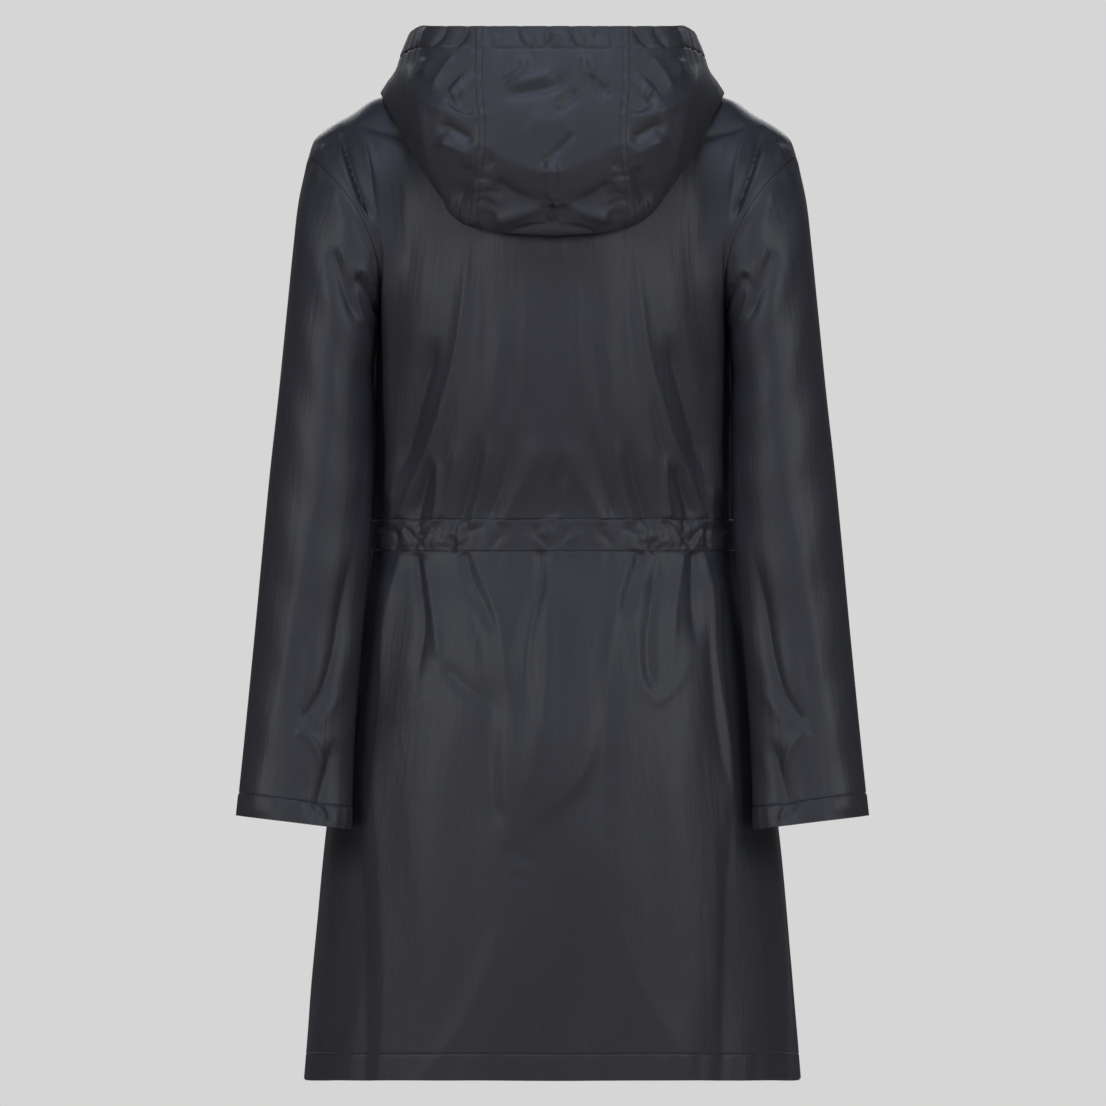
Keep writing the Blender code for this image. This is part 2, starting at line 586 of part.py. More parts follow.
# ---- the waist casing inside ----
def waist_casing():
    """Strip sewn inside the waist by its two stitch lines; it ends short of the zip's tapes."""
    back_turns = np.linspace(-1.0, 1.0, 2 * BODY_COLUMNS + 1)
    front_turns = np.linspace(1.0, 2.0, BODY_COLUMNS + 1)[1:-1]
    turns = np.concatenate([-front_turns[::-1], back_turns, front_turns])
    downs = [down_at(WAIST_TOP), down_at(WAIST_BOTTOM)]
    points, normals = folded_coat(*np.meshgrid(turns, downs))
    outer = points - normals * (WALL + CASING_GAP)
    wall_object("waist_casing", outer, outer - normals * CASING_WALL, "shell_cloth")


# ---- the zip ----
def front_frame(down):
    """Centre-front point of the coat, the direction down the zip, and the direction out of it."""
    down = np.asarray(down, float)
    step = 1e-3
    two = np.full(down.shape, 2.0)
    run = unit(coat(two, down + step) - coat(two, np.maximum(down - step, 0.0)))
    out = stack(0.0, run[..., 2], -run[..., 1])
    return coat(two, down), run, out


def zip_strip(name, top, bottom, x_low, x_high, front, back, slot):
    """A strip that follows the centre front from `top` to `bottom`."""
    downs = np.concatenate([[top], [d for d in body_downs() if top + 0.02 < d < bottom], [bottom]])
    centre, _, out = front_frame(downs)
    layers = []
    for depth in (front, back):
        line = centre - out * depth
        layers.append(np.stack([stack(x, line[:, 1], line[:, 2]) for x in (x_low, x_high)], axis=1))
    return wall_object(name, *layers, slot, smooth=False)


def block(name, low, high):
    mesh = bpy.data.meshes.new(name)
    shape = bmesh.new()
    bmesh.ops.create_cube(shape, size=1.0)
    for vert in shape.verts:
        vert.co = [low[i] if vert.co[i] < 0 else high[i] for i in range(3)]
    shape.to_mesh(mesh)
    shape.free()
    made = bpy.data.objects.new(name, mesh)
    bpy.context.collection.objects.link(made)
    return made


def united(name, blocks, slot, place, tilt):
    """One body made of plain blocks, placed on the zip."""
    whole = block(name, *blocks[0])
    for number, corners in enumerate(blocks[1:]):
        other = block(name + "_part_%d" % number, *corners)
        other.hide_render = True
        other.display_type = "WIRE"
        other.parent = whole
        join = whole.modifiers.new("join", "BOOLEAN")
        join.operation = "UNION"
        join.object = other
    whole.location = place
    whole.rotation_euler = (tilt, 0.0, 0.0)
    whole.data.materials.append(material(slot))
    return whole


def slider_and_pull():
    centre, run, out = (value[0] for value in front_frame([SLIDER_DOWN]))
    tilt = math.atan2(run[1], -run[2])
    wide, half, leg = SLIDER_HALF_WIDTH, SLIDER_HALF_LENGTH, BRIDGE_HALF_LENGTH
    bridge = BRIDGE_HALF_WIDTH
    under = PLATE_FRONT - BRIDGE_UNDER
    top = PLATE_FRONT - BRIDGE_TOP
    inside_plate = (PLATE_FRONT + PLATE_BACK) / 2
    slider = [
        ((-wide, PLATE_FRONT, -half), (wide, PLATE_BACK, half)),
        ((-wide, REAR_PLATE_FRONT, -half), (wide, REAR_PLATE_BACK, half)),
        ((-NECK_HALF_X, inside_plate, NECK_LOW), (NECK_HALF_X, REAR_PLATE_BACK - 0.0003, half - 0.0005)),
        ((-bridge, top, -leg), (bridge, inside_plate, -leg + BRIDGE_LEG)),
        ((-bridge, top, leg - BRIDGE_LEG), (bridge, inside_plate, leg)),
        ((-bridge, top, -leg + BRIDGE_LEG / 2), (bridge, under, leg - BRIDGE_LEG / 2)),
    ]
    united("zip_slider", slider, "zip_metal", centre, tilt)
    pin = centre + out * (PIN_HEIGHT - PLATE_FRONT)
    thick = PIN_HALF
    pull = [
        ((-EYE_OUTER_X, -thick, -thick), (EYE_OUTER_X, thick, thick)),
        ((EYE_INNER_X, -thick, -EYE_LENGTH - 0.001), (EYE_OUTER_X, thick, 0.0)),
        ((-EYE_OUTER_X, -thick, -EYE_LENGTH - 0.001), (-EYE_INNER_X, thick, 0.0)),
        ((-PULL_HALF_WIDTH, -thick, -PULL_LENGTH), (PULL_HALF_WIDTH, thick, -EYE_LENGTH)),
    ]
    united("zip_pull", pull, "zip_metal", pin, tilt)


def zip_fastener():
    first = 0.02
    for name, hand in (("zip_tape_left", 1.0), ("zip_tape_right", -1.0)):
        xs = sorted((hand * TAPE_INNER_X, hand * TAPE_OUTER_X))
        zip_strip(name, first, 1.995, *xs, TAPE_FRONT, TAPE_BACK, "zip_cloth")
    start, _, _ = front_frame([0.0])
    reach = np.linalg.norm(front_frame([1.0])[0] - start)
    top = SLIDER_DOWN + (SEAM_GAP - NECK_LOW) / reach
    zip_strip("zip_chain", top, 1.995, -CHAIN_HALF_WIDTH, CHAIN_HALF_WIDTH, CHAIN_FRONT, CHAIN_BACK, "zip_coil")
    slider_and_pull()


def main():
    clear_scene()
    back_panel()
    front_panel("front_left", 1.0)
    front_panel("front_right", -1.0)
    sleeve("sleeve_left", 1.0)
    sleeve("sleeve_right", -1.0)
    hood()
    waist_casing()
    zip_fastener()


main()
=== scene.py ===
"""Looks of the longline hooded rain parka: creased cloth shells, stitching, zip, light, camera.

Metres, +Z up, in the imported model's frame. The coat's front faces -Y and its wearer's left arm
is at +X. `turn` runs round the body: 0 at the centre back, 1 at the left side seam, 2 at the
centre front, negative on the right. `down` runs along a panel: 0 at the neckline and shoulder
seam, 1 at the underarm, 2 at the hem. Crease tables are in millimetres, seen square on.
"""

import math
from collections import namedtuple

import bmesh
import bpy
import numpy as np
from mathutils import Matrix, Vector

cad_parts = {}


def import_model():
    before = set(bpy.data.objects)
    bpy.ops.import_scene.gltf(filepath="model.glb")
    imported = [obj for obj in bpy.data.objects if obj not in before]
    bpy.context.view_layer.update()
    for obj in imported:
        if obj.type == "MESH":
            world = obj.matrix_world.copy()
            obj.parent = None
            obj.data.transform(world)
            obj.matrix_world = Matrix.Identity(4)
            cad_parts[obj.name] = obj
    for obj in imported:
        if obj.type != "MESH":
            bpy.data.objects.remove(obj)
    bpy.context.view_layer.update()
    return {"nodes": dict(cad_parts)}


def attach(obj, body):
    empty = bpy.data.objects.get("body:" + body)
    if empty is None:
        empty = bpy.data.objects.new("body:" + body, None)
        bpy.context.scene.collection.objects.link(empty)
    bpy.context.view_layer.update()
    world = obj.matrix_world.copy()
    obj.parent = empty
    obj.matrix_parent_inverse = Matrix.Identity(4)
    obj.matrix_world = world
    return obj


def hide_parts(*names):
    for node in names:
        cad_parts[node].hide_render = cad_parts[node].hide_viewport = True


MM = 0.001
THREAD_UV = -1.0           # where the thread lies in the cloth's own coordinates, off every panel

# ---- driving sizes, metres ----
WALL = 0.0016              # cloth wall
HEM_WALL = 0.0026          # wall where a hem is turned up
SEAM_GAP = 0.0003          # clearance between neighbouring panels
HALF_SEAM = SEAM_GAP / 2
HEM_DEPTH = 0.025          # turned hem of the skirt and the cuffs
HOOD_CASING = 0.022        # turned casing round the hood's opening
UNDERARM_Z = -0.222
HEM_Z = -0.945
HEM_LIFT = 0.003           # how much the hem rises at the side seams
WAIST_TOP = -0.4175        # upper stitch line of the waist casing
WAIST_BOTTOM = -0.4475     # lower stitch line of the waist casing
CASING_WALL = 0.0010
CASING_GAP = 0.0008        # between the coat's wall and the strip inside it
CASING_SINK = 0.0012       # how much further in the strip lies, clear of the creases' troughs
YOKE_LENGTH = 0.20         # neckline to underarm, along the cloth
SKIRT_LENGTH = UNDERARM_Z - HEM_Z
EASE_REACH = 0.045         # how far above and below the underarm the yoke is eased into the tube
QUARTER_GIRTH = 0.25       # cloth in a quarter of the body's girth
SLEEVE_LENGTH = 0.62
SLEEVE_RADIUS = 0.055      # on average
HOOD_RADIUS = 0.10         # of its lying roll, on average
HOOD_SEAM_RADIUS = HOOD_RADIUS * 1.9  # of the roll at its back seams
HOOD_RIB_LENGTH = 0.26     # cloth along a rib that the puckers are measured on
RING_POWER = 2.3           # squareness of the body's rings, 2 is an ellipse
FRONT_EDGE_X = 0.005       # half the gap between the two fronts, where the zip's chain shows
NECK_HALF_WIDTH = 0.080
NECK_BACK_Y = 0.066
NECK_FRONT_Y = -0.088
NECK_BACK_Z = -0.004
NECK_SIDE_Z = 0.004
NECK_FRONT_Z = -0.075
CORNER_REACH = 0.22        # share of the top edge over which the neckline's corner is rounded
NECK_SHARE = 0.40          # part of a half panel's top edge that is neckline
HOOD_LIFT = 0.0006         # gap over the neckline edge at which the hood's seam starts
HOOD_STAND = 0.009         # height of the hood's stand before it turns out over the coat
HOOD_TURN_UP = 0.003       # how much higher and further out its cloth is at that turn
HOOD_TURN_OUT = 0.008
HOOD_LIES_FROM = 115.0     # degrees round the hood where it stops lying over and starts to stand up
HOOD_BELLY_KNOT = 8        # knot of a rib that is its belly
HOOD_UNDER_GAP = 0.0045    # outer side of the hood's under layer, over the coat
HOOD_FOLD_GAP = 0.0110     # outer side of the hood's lower fold, over the coat, at the back
HOOD_FOLD_GAP_SIDE = 0.0060
HOOD_SIDE_TUCK = 0.0045    # how far the fold is drawn in where the hood turns over the shoulder
HOOD_TUCK_TURN = 88.0      # degrees round the hood of the middle of that stretch
HOOD_TUCK_SPREAD = 24.0
HOOD_LOW_SWELL = 0.012     # how far the pouch swells out between its fold and its belly
HOOD_HIGH_SWELL = 0.004    # and between its belly and its edge
HOOD_SEAM_TURN = 22.5      # degrees round the hood of its two back seams
HOOD_FRONT_TURN = 176.0    # degrees round the hood of its front edges
HOOD_CREASES_END = (76.0, 96.0)  # degrees round the hood over which its creases die out
HOOD_FOLD_ROWS = (0.47, 0.53)    # shares of a rib over which they begin, at the fold
SHOULDER_RISE = 0.0022     # the shoulder seam stands up a little beside the hood
RISE_X = 0.170             # where it does so, from the centre line
RISE_WIDTH = 0.011
ARMPIT_FULLNESS = 0.0028   # the sleeve's cloth swells towards the body under the arm
ARMPIT_DEGREES = 168.0     # where round the sleeve, and over how many degrees
ARMPIT_SPREAD = 26.0
ARMPIT_DOWN = 0.045        # how far below the armhole, and over what length
ARMPIT_LENGTH = 0.048
FRONT_STITCH_X = 0.012     # stitch line along each front edge
FELLED_WIDTH = 0.0092      # flat-felled band over each of the hood's back seams
ALLOWANCE = 0.005          # seam allowance inside, on each side of a plain seam
ALLOWANCE_WALL = 0.0005
ALLOWANCE_UNDER = WALL + 0.0006
STITCH_DIP = 0.0006        # how deep a line of stitches pulls the cloth in
HEM_DIP = 0.0007           # and how deep the hems' lines do
DIP_WIDTH = 0.0007
HOOD_DIP_WIDTH = 0.0008
STITCH_PITCH = 0.0030
STITCH_LENGTH = 0.0021
STITCH_RADIUS = 0.00021
GROOVE = (-0.00100, -0.00042, 0.00042, 0.00100)  # rows added at each side of a stitch line

# ---- colours, linear ----
CLOTH_DARK = (0.0166, 0.0168, 0.0213)
CLOTH_LIGHT = (0.0236, 0.0239, 0.0288)
# thread darker than the cloth: partly the thread's own colour, partly painted shade of the stitch groove
THREAD_COLOUR_AND_PAINTED_SHADE = (0.0125, 0.0125, 0.0150)
SOFT_WHITE = (0.975, 0.985, 1.0)
COOL_WHITE = (0.66, 0.75, 1.0)

ZipLook = namedtuple("ZipLook", "slot low high roughness metallic scale")
ZIP_LOOKS = [
    ZipLook("zip_cloth", (0.018, 0.018, 0.021), (0.030, 0.030, 0.034), 0.85, 0.0, 900.0),
    ZipLook("zip_coil", (0.015, 0.015, 0.017), (0.025, 0.025, 0.028), 0.35, 0.0, 500.0),
    ZipLook("zip_metal", (0.22, 0.22, 0.23), (0.30, 0.30, 0.31), 0.32, 1.0, 700.0),
]

# ---- zip, metres; depths are under the fronts' outer surface ----
CHAIN_HALF_WIDTH = 0.0029
CHAIN_FRONT = 0.0007
CHAIN_BACK = 0.0030
TOOTH_PITCH = 0.0013
TOOTH_OVERLAP = 0.0007     # how far each tooth reaches past the centre
TOOTH_SLIMNESS = 0.8       # its share of the chain's depth
CORD_HALF_WIDTH = 0.0012   # of the cord that the teeth grip
TEETH_A_CORD_RING = 6      # teeth from one ring of the cord's points to the next
CHAIN_TOP = 0.0772         # `down` where the chain starts, under the slider
SLIDER_DOWN = 0.075
PLATE_FRONT = -0.0010
PLATE_BACK = 0.0003
REAR_PLATE_FRONT = 0.0044
REAR_PLATE_BACK = 0.0055
SLIDER_HALF_WIDTH = 0.0043
SLIDER_HALF_LENGTH = 0.0055
SLIDER_TAIL_HALF_WIDTH = 0.0031
SLIDER_SHOULDER = -0.0006  # where its plates start to narrow, from its middle
PLATE_CORNER = 0.0016      # radius of its plates' corners
PLATE_BEVEL = 0.0003
NECK_HALF_X = 0.0012       # the slider's neck, which joins its plates
NECK_LENGTH = 0.0048
NECK_HALF_DEPTH = 0.0024
NECK_PLACE = (0.00235, 0.0002)  # its middle's depth, and its lower end over the slider's middle
NECK_BEVEL = 0.0001
BRIDGE_HALF_WIDTH = 0.0009
BRIDGE_LEG_END = -0.0004   # depth at which the bridge's legs end, inside the front plate
FINE_BEVEL = 0.0002        # of the bridge and the pull
PIN_HEIGHT = 0.0011        # hinge axis of the pull over the front plate
PULL_HALF_THICKNESS = 0.0005
PULL_HALF_WIDTH = 0.0032
PULL_LENGTH = 0.0270
PULL_HOLE_RADIUS = 0.0013
PULL_HOLE_DOWN = 0.0228    # centre of the round hole in the pull, under its hinge axis
PULL_CORNER = 0.0013
PULL_TOP_HALF_WIDTH = 0.0026
PULL_NARROW_TO = -0.0052   # its top is narrow down to here, and full width from the next
PULL_WIDE_FROM = -0.0075
EYE_HALF_WIDTH = 0.0015    # the slot through which the bridge passes
EYE_CORNER = 0.0006

# ---- sections ----
BodyRing = namedtuple("BodyRing", "z half_width back_y side_y front_y")
BODY_RINGS = [
    BodyRing(-0.222, 0.1615, 0.128, 0.008, -0.136),
    BodyRing(-0.245, 0.1645, 0.128, -0.004, -0.137),
    BodyRing(-0.285, 0.1688, 0.126, -0.024, -0.138),
    BodyRing(-0.350, 0.1715, 0.118, -0.032, -0.136),
    BodyRing(-0.4175, 0.1745, 0.103, -0.030, -0.126),
    BodyRing(-0.4475, 0.1765, 0.104, -0.030, -0.127),
    BodyRing(-0.500, 0.1830, 0.122, -0.030, -0.138),
    BodyRing(-0.590, 0.1960, 0.141, -0.029, -0.151),
    BodyRing(-0.710, 0.2128, 0.152, -0.027, -0.164),
    BodyRing(-0.830, 0.2240, 0.157, -0.025, -0.170),
    BodyRing(-0.945, 0.2334, 0.160, -0.023, -0.174),
]

ShoulderPoint = namedtuple("ShoulderPoint", "along x y z")
SHOULDER = [
    ShoulderPoint(0.00, 0.0800, 0.000, 0.0040),
    ShoulderPoint(0.28, 0.1240, 0.001, -0.0080),
    ShoulderPoint(0.50, 0.1600, 0.002, -0.0215),
    ShoulderPoint(0.70, 0.1900, 0.004, -0.0375),
    ShoulderPoint(0.84, 0.2120, 0.006, -0.0505),
    ShoulderPoint(0.93, 0.2240, 0.007, -0.0620),
    ShoulderPoint(1.00, 0.2290, 0.008, -0.0760),
]

SleeveRing = namedtuple("SleeveRing", "outer_x outer_z inner_x inner_z centre_y half_depth bow")
SLEEVE_RINGS = [
    SleeveRing(0.2290, -0.076, 0.1615, -0.222, 0.008, 0.071, 0.021),
    SleeveRing(0.2385, -0.118, 0.1668, -0.250, 0.012, 0.070, 0.012),
    SleeveRing(0.2440, -0.165, 0.1676, -0.282, 0.017, 0.068, 0.005),
    SleeveRing(0.2500, -0.225, 0.1676, -0.320, 0.022, 0.064, 0.000),
    SleeveRing(0.2575, -0.300, 0.1680, -0.365, 0.028, 0.061, 0.000),
    SleeveRing(0.2655, -0.372, 0.1700, -0.415, 0.034, 0.058, 0.000),
    SleeveRing(0.2725, -0.445, 0.1738, -0.475, 0.042, 0.055, 0.000),
    SleeveRing(0.2790, -0.515, 0.1790, -0.537, 0.050, 0.052, 0.000),
    SleeveRing(0.2855, -0.582, 0.1840, -0.600, 0.062, 0.049, 0.000),
    SleeveRing(0.2915, -0.642, 0.1870, -0.657, 0.073, 0.046, 0.000),
    SleeveRing(0.2972, -0.696, 0.1885, -0.709, 0.084, 0.044, 0.000),
]

HoodRib = namedtuple("HoodRib", "turn fold_across fold_over belly_x belly_y belly_z edge_x edge_y edge_z")
HOOD_RIBS = [
    HoodRib(0.0, 0.00, 0.650, 0.000, 0.170, -0.068, 0.000, 0.136, 0.046),
    HoodRib(22.5, 0.23, 0.630, 0.066, 0.167, -0.066, 0.0686, 0.132, 0.046),
    HoodRib(45.0, 0.46, 0.520, 0.110, 0.150, -0.050, 0.110, 0.112, 0.046),
    HoodRib(67.5, 0.64, 0.355, 0.136, 0.098, -0.022, 0.1245, 0.076, 0.0457),
    HoodRib(90.0, 0.71, 0.055, 0.1475, 0.032, 0.004, 0.135, 0.022, 0.036),
    HoodRib(112.5, 0.64, -0.140, 0.138, -0.046, -0.004, 0.118, -0.034, 0.026),
    HoodRib(135.0, 0.50, -0.160, 0.100, -0.092, -0.026, 0.086, -0.076, 0.012),
    HoodRib(157.5, 0.28, -0.100, 0.052, -0.108, -0.046, 0.046, -0.098, -0.002),
    HoodRib(176.0, 0.08, -0.020, 0.0085, -0.098, -0.048, 0.0080, -0.100, -0.012),
]

# ---- fine relief of the cloth, metres ----
CASING_PUFF = 0.0006       # how far the waist's casing stands out between its lines
HEM_PUFF = 0.0004          # and the hems below theirs
HOOD_CASING_PUFF = 0.0005  # and the hood's casing above its own

# Puckers along a line of stitches.
Pucker = namedtuple("Pucker", "height pitch seed")
WAIST_PUCKERS = Pucker(0.00035, 0.0170, 1.0)
CASING_PUCKERS = Pucker(0.00025, 0.0125, 3.0)
HEM_PUCKERS = Pucker(0.00045, 0.0210, 2.0)
CUFF_PUCKERS = Pucker(0.00040, 0.0160, 2.0)
ARMHOLE_PUCKERS = Pucker(0.00090, 0.0230, 4.0)
HOOD_EDGE_PUCKERS = Pucker(0.00050, 0.0190, 5.0)
HOOD_LINE_PUCKERS = Pucker(0.00060, 0.0190, 5.0)

# Low waves round the body, each between two heights: `rate` is radians for each metre of girth.
Wave = namedtuple("Wave", "height rate slant sway sway_rate starts full ends")
BODY_WAVES = [
    Wave(0.0011, 61.0, 0.0, 2.0, 7.0, -0.47, -0.60, -1.0),
    Wave(0.0007, 110.0, 9.0, 1.3, 21.0, -0.44, -0.50, -1.0),
    Wave(0.0006, 95.0, 0.0, 1.5, 16.0, -0.14, -0.22, WAIST_TOP),
]

# Across a flat-felled band, -1 at one edge and 1 at the other: its rise over the cloth and its puckers.
BandPoint = namedtuple("BandPoint", "across rise pucker")
BAND_HALF = [
    BandPoint(-1.0, 0.00005, 0.0),
    BandPoint(-0.9, 0.00040, 0.5),
    BandPoint(-0.72, 0.00050, 0.2),
    BandPoint(-0.4, 0.00068, 0.8),
]
BAND_OTHER_HALF = [one._replace(across=-one.across) for one in BAND_HALF[::-1]]
BAND = BAND_HALF + [BandPoint(0.0, 0.00072, 1.0)] + BAND_OTHER_HALF
BAND_STITCHES = (2, 6)     # places in BAND of its two rows of stitches

# ---- creases, millimetres ----
# A height above 0 is a ridge, below 0 a trough. `fade` is the share of the length over which each
# end dies out. `lean` above 0 widens the flank on the path's left.
Crease = namedtuple("Crease", "path width_start width_end height fade_in fade_out lean")
CREASE_STEP = 6.0          # between points of the smooth curve through a path
CREASE_REACH = 3.2         # widths from its path within which a crease is worked out
CREASE_SHARPNESS = 1.4     # 2 gives a soft bell, 1 a sharp crest
CREASE_LEFT = 0.06         # share of its height that is left where an end has died out


def crease(path, width, height, fade=(0.25, 0.25), lean=0.0):
    start, end = width if isinstance(width, tuple) else (width, width)
    return Crease(path, start, end, height, fade[0], fade[1], lean)


# On both halves of the back; X is away from the centre line.
BACK_PAIRS = [
    crease(((137, -92), (140, -125), (137, -155), (134, -205)), 11, -2.6, (0.3, 0.4)),
    crease(((122, -150), (121, -190), (122, -230)), 14, 1.2, (0.4, 0.4)),
    crease(((163, -128), (158, -165), (156, -230), (155, -330), (155, -412)), 8, 4.6, (0.15, 0.1), -0.6),
    crease(((77, -128), (79, -165), (84, -210), (90, -250), (98, -290), (108, -340), (119, -392)), 4.4, 2.0,
           (0.3, 0.3)),
    crease(((92, -170), (95, -215), (102, -262), (112, -300)), 10, -1.5, (0.4, 0.4)),
    crease(((70, -170), (74, -230), (84, -300), (94, -350)), 6, -1.2, (0.4, 0.4)),
    crease(((98, -278), (112, -333), (128, -375), (144, -419)), 4, 2.6, (0.3, 0.05)),
    crease(((90, -290), (102, -342), (120, -384), (134, -417)), 4.5, -2.2, (0.3, 0.1)),
    crease(((110, -242), (122, -288), (134, -335), (149, -392)), (9, 13), -8.5, (0.22, 0.3)),
    crease(((48, -225), (54, -290), (58, -345)), 9, 2.6, (0.4, 0.3)),
    crease(((38, -240), (44, -300), (50, -345)), 6, -1.6, (0.4, 0.4)),
    crease(((57, -335), (66, -385), (77, -427)), 4.4, 3.0, (0.3, 0.08)),
    crease(((66, -332), (76, -380), (89, -424)), 6, -4.4, (0.3, 0.1)),
    crease(((33, -325), (46, -380), (62, -424)), 6.5, -4.2, (0.35, 0.15)),
    crease(((6, -335), (24, -376), (40, -405), (50, -426)), 9, 3.6, (0.25, 0.1)),
    crease(((86, -340), (96, -385), (103, -420)), 6, 2.2, (0.3, 0.1)),
    crease(((112, -355), (108, -385), (112, -421)), 4, 2.6, (0.25, 0.08)),
    crease(((118, -355), (122, -390), (129, -422)), 5.5, -4.2, (0.3, 0.1)),
    crease(((24, -165), (24, -240), (29, -325)), 9, 2.0, (0.4, 0.4)),
    crease(((12, -190), (13, -250), (16, -320)), 5, -1.3, (0.4, 0.4)),
    crease(((66, -160), (63, -230), (66, -310)), 7, -1.8, (0.4, 0.4)),
    crease(((150, -385), (150, -410), (152, -430)), 5, 3.0),
]
BACK_ONLY = [
    crease(((0, -175), (-1, -250), (-3, -335)), 7, -2.0, (0.4, 0.4)),
    crease(((13, -163), (-17, -163)), 10, 2.0, (0.5, 0.5)),
    crease(((-17, -376), (-9, -397), (-6, -419)), 4, 2.4, (0.3, 0.1)),
    crease(((-9, -355), (-3, -385), (-2, -419)), 5, -4.0, (0.35, 0.1)),
    crease(((36, -250), (30, -300), (20, -350)), 7, -1.6, (0.4, 0.4)),
]

# Within the waist's casing, on both halves.
CASING_PAIRS = [
    crease(((127, -418), (125, -430), (129, -441), (133, -449)), 2.4, -3.4, (0.2, 0.2)),
    crease(((136, -418), (140, -431), (138, -446)), 3.4, 1.8),
    crease(((146, -420), (134, -430), (128, -440)), 2.2, -2.0, (0.3, 0.2)),
    crease(((104, -420), (114, -427), (125, -436)), 2.2, -2.2, (0.3, 0.15)),
    crease(((110, -418), (120, -424), (127, -431)), 2.2, 1.4),
    crease(((116, -445), (108, -438), (100, -443)), 2.4, 1.4),
    crease(((120, -447), (124, -440), (127, -436)), 2.0, -1.6),
    crease(((98, -432), (93, -441), (94, -449)), 2.8, -2.8, (0.3, 0.15)),
    crease(((86, -440), (92, -444), (94, -449)), 2.2, -1.8, (0.3, 0.15)),
    crease(((103, -441), (97, -446)), 2.2, -1.6),
    crease(((90, -418), (93, -431)), 2.2, -1.2),
    crease(((84, -418), (88, -432), (86, -444)), 3, 0.9),
    crease(((64, -423), (83, -432)), 2.8, -1.2),
    crease(((46, -430), (59, -446)), 3, -1.2),
    crease(((36, -424), (42, -444)), 3.4, 0.9),
    crease(((22, -419), (26, -430)), 2.6, -0.8),
    crease(((149, -424), (146, -437), (150, -449)), 2.6, -3.0),
    crease(((158, -424), (159, -438), (162, -450)), 5, 2.2),
]
CASING_ONLY = [
    crease(((128, -449), (118, -436), (112, -420)), 1.9, 1.3),
    crease(((130, -449), (126, -434), (121, -420)), 1.9, 1.2),
    crease(((131, -449), (136, -436), (143, -421)), 1.9, 1.3),
    crease(((-128, -449), (-118, -436), (-112, -420)), 1.9, 1.3),
    crease(((-130, -449), (-127, -434), (-120, -420)), 1.9, 1.2),
    crease(((-131, -449), (-136, -436), (-143, -421)), 1.9, 1.3),
    crease(((93, -449), (86, -438), (78, -430)), 1.9, 1.2),
    crease(((95, -449), (100, -438), (104, -428)), 1.9, 1.0),
    crease(((-93, -449), (-86, -438), (-78, -430)), 1.9, 1.2),
    crease(((-95, -449), (-100, -438), (-104, -428)), 1.9, 1.0),
    crease(((1, -449), (-16, -436), (-30, -430)), 1.9, 1.0),
    crease(((3, -449), (16, -438), (30, -432)), 1.9, 1.0),
    crease(((14, -421), (15, -432), (7, -440), (2, -448)), 2.4, -2.6, (0.2, 0.15)),
    crease(((-11, -422), (-12, -433), (-7, -440), (-2, -448)), 2.4, -1.8),
    crease(((0, -417), (0, -428)), 2.2, -1.4),
    crease(((5, -424), (3, -436)), 3.6, 1.5),
    crease(((-24, -425), (-20, -444)), 3.4, 1.0),
]

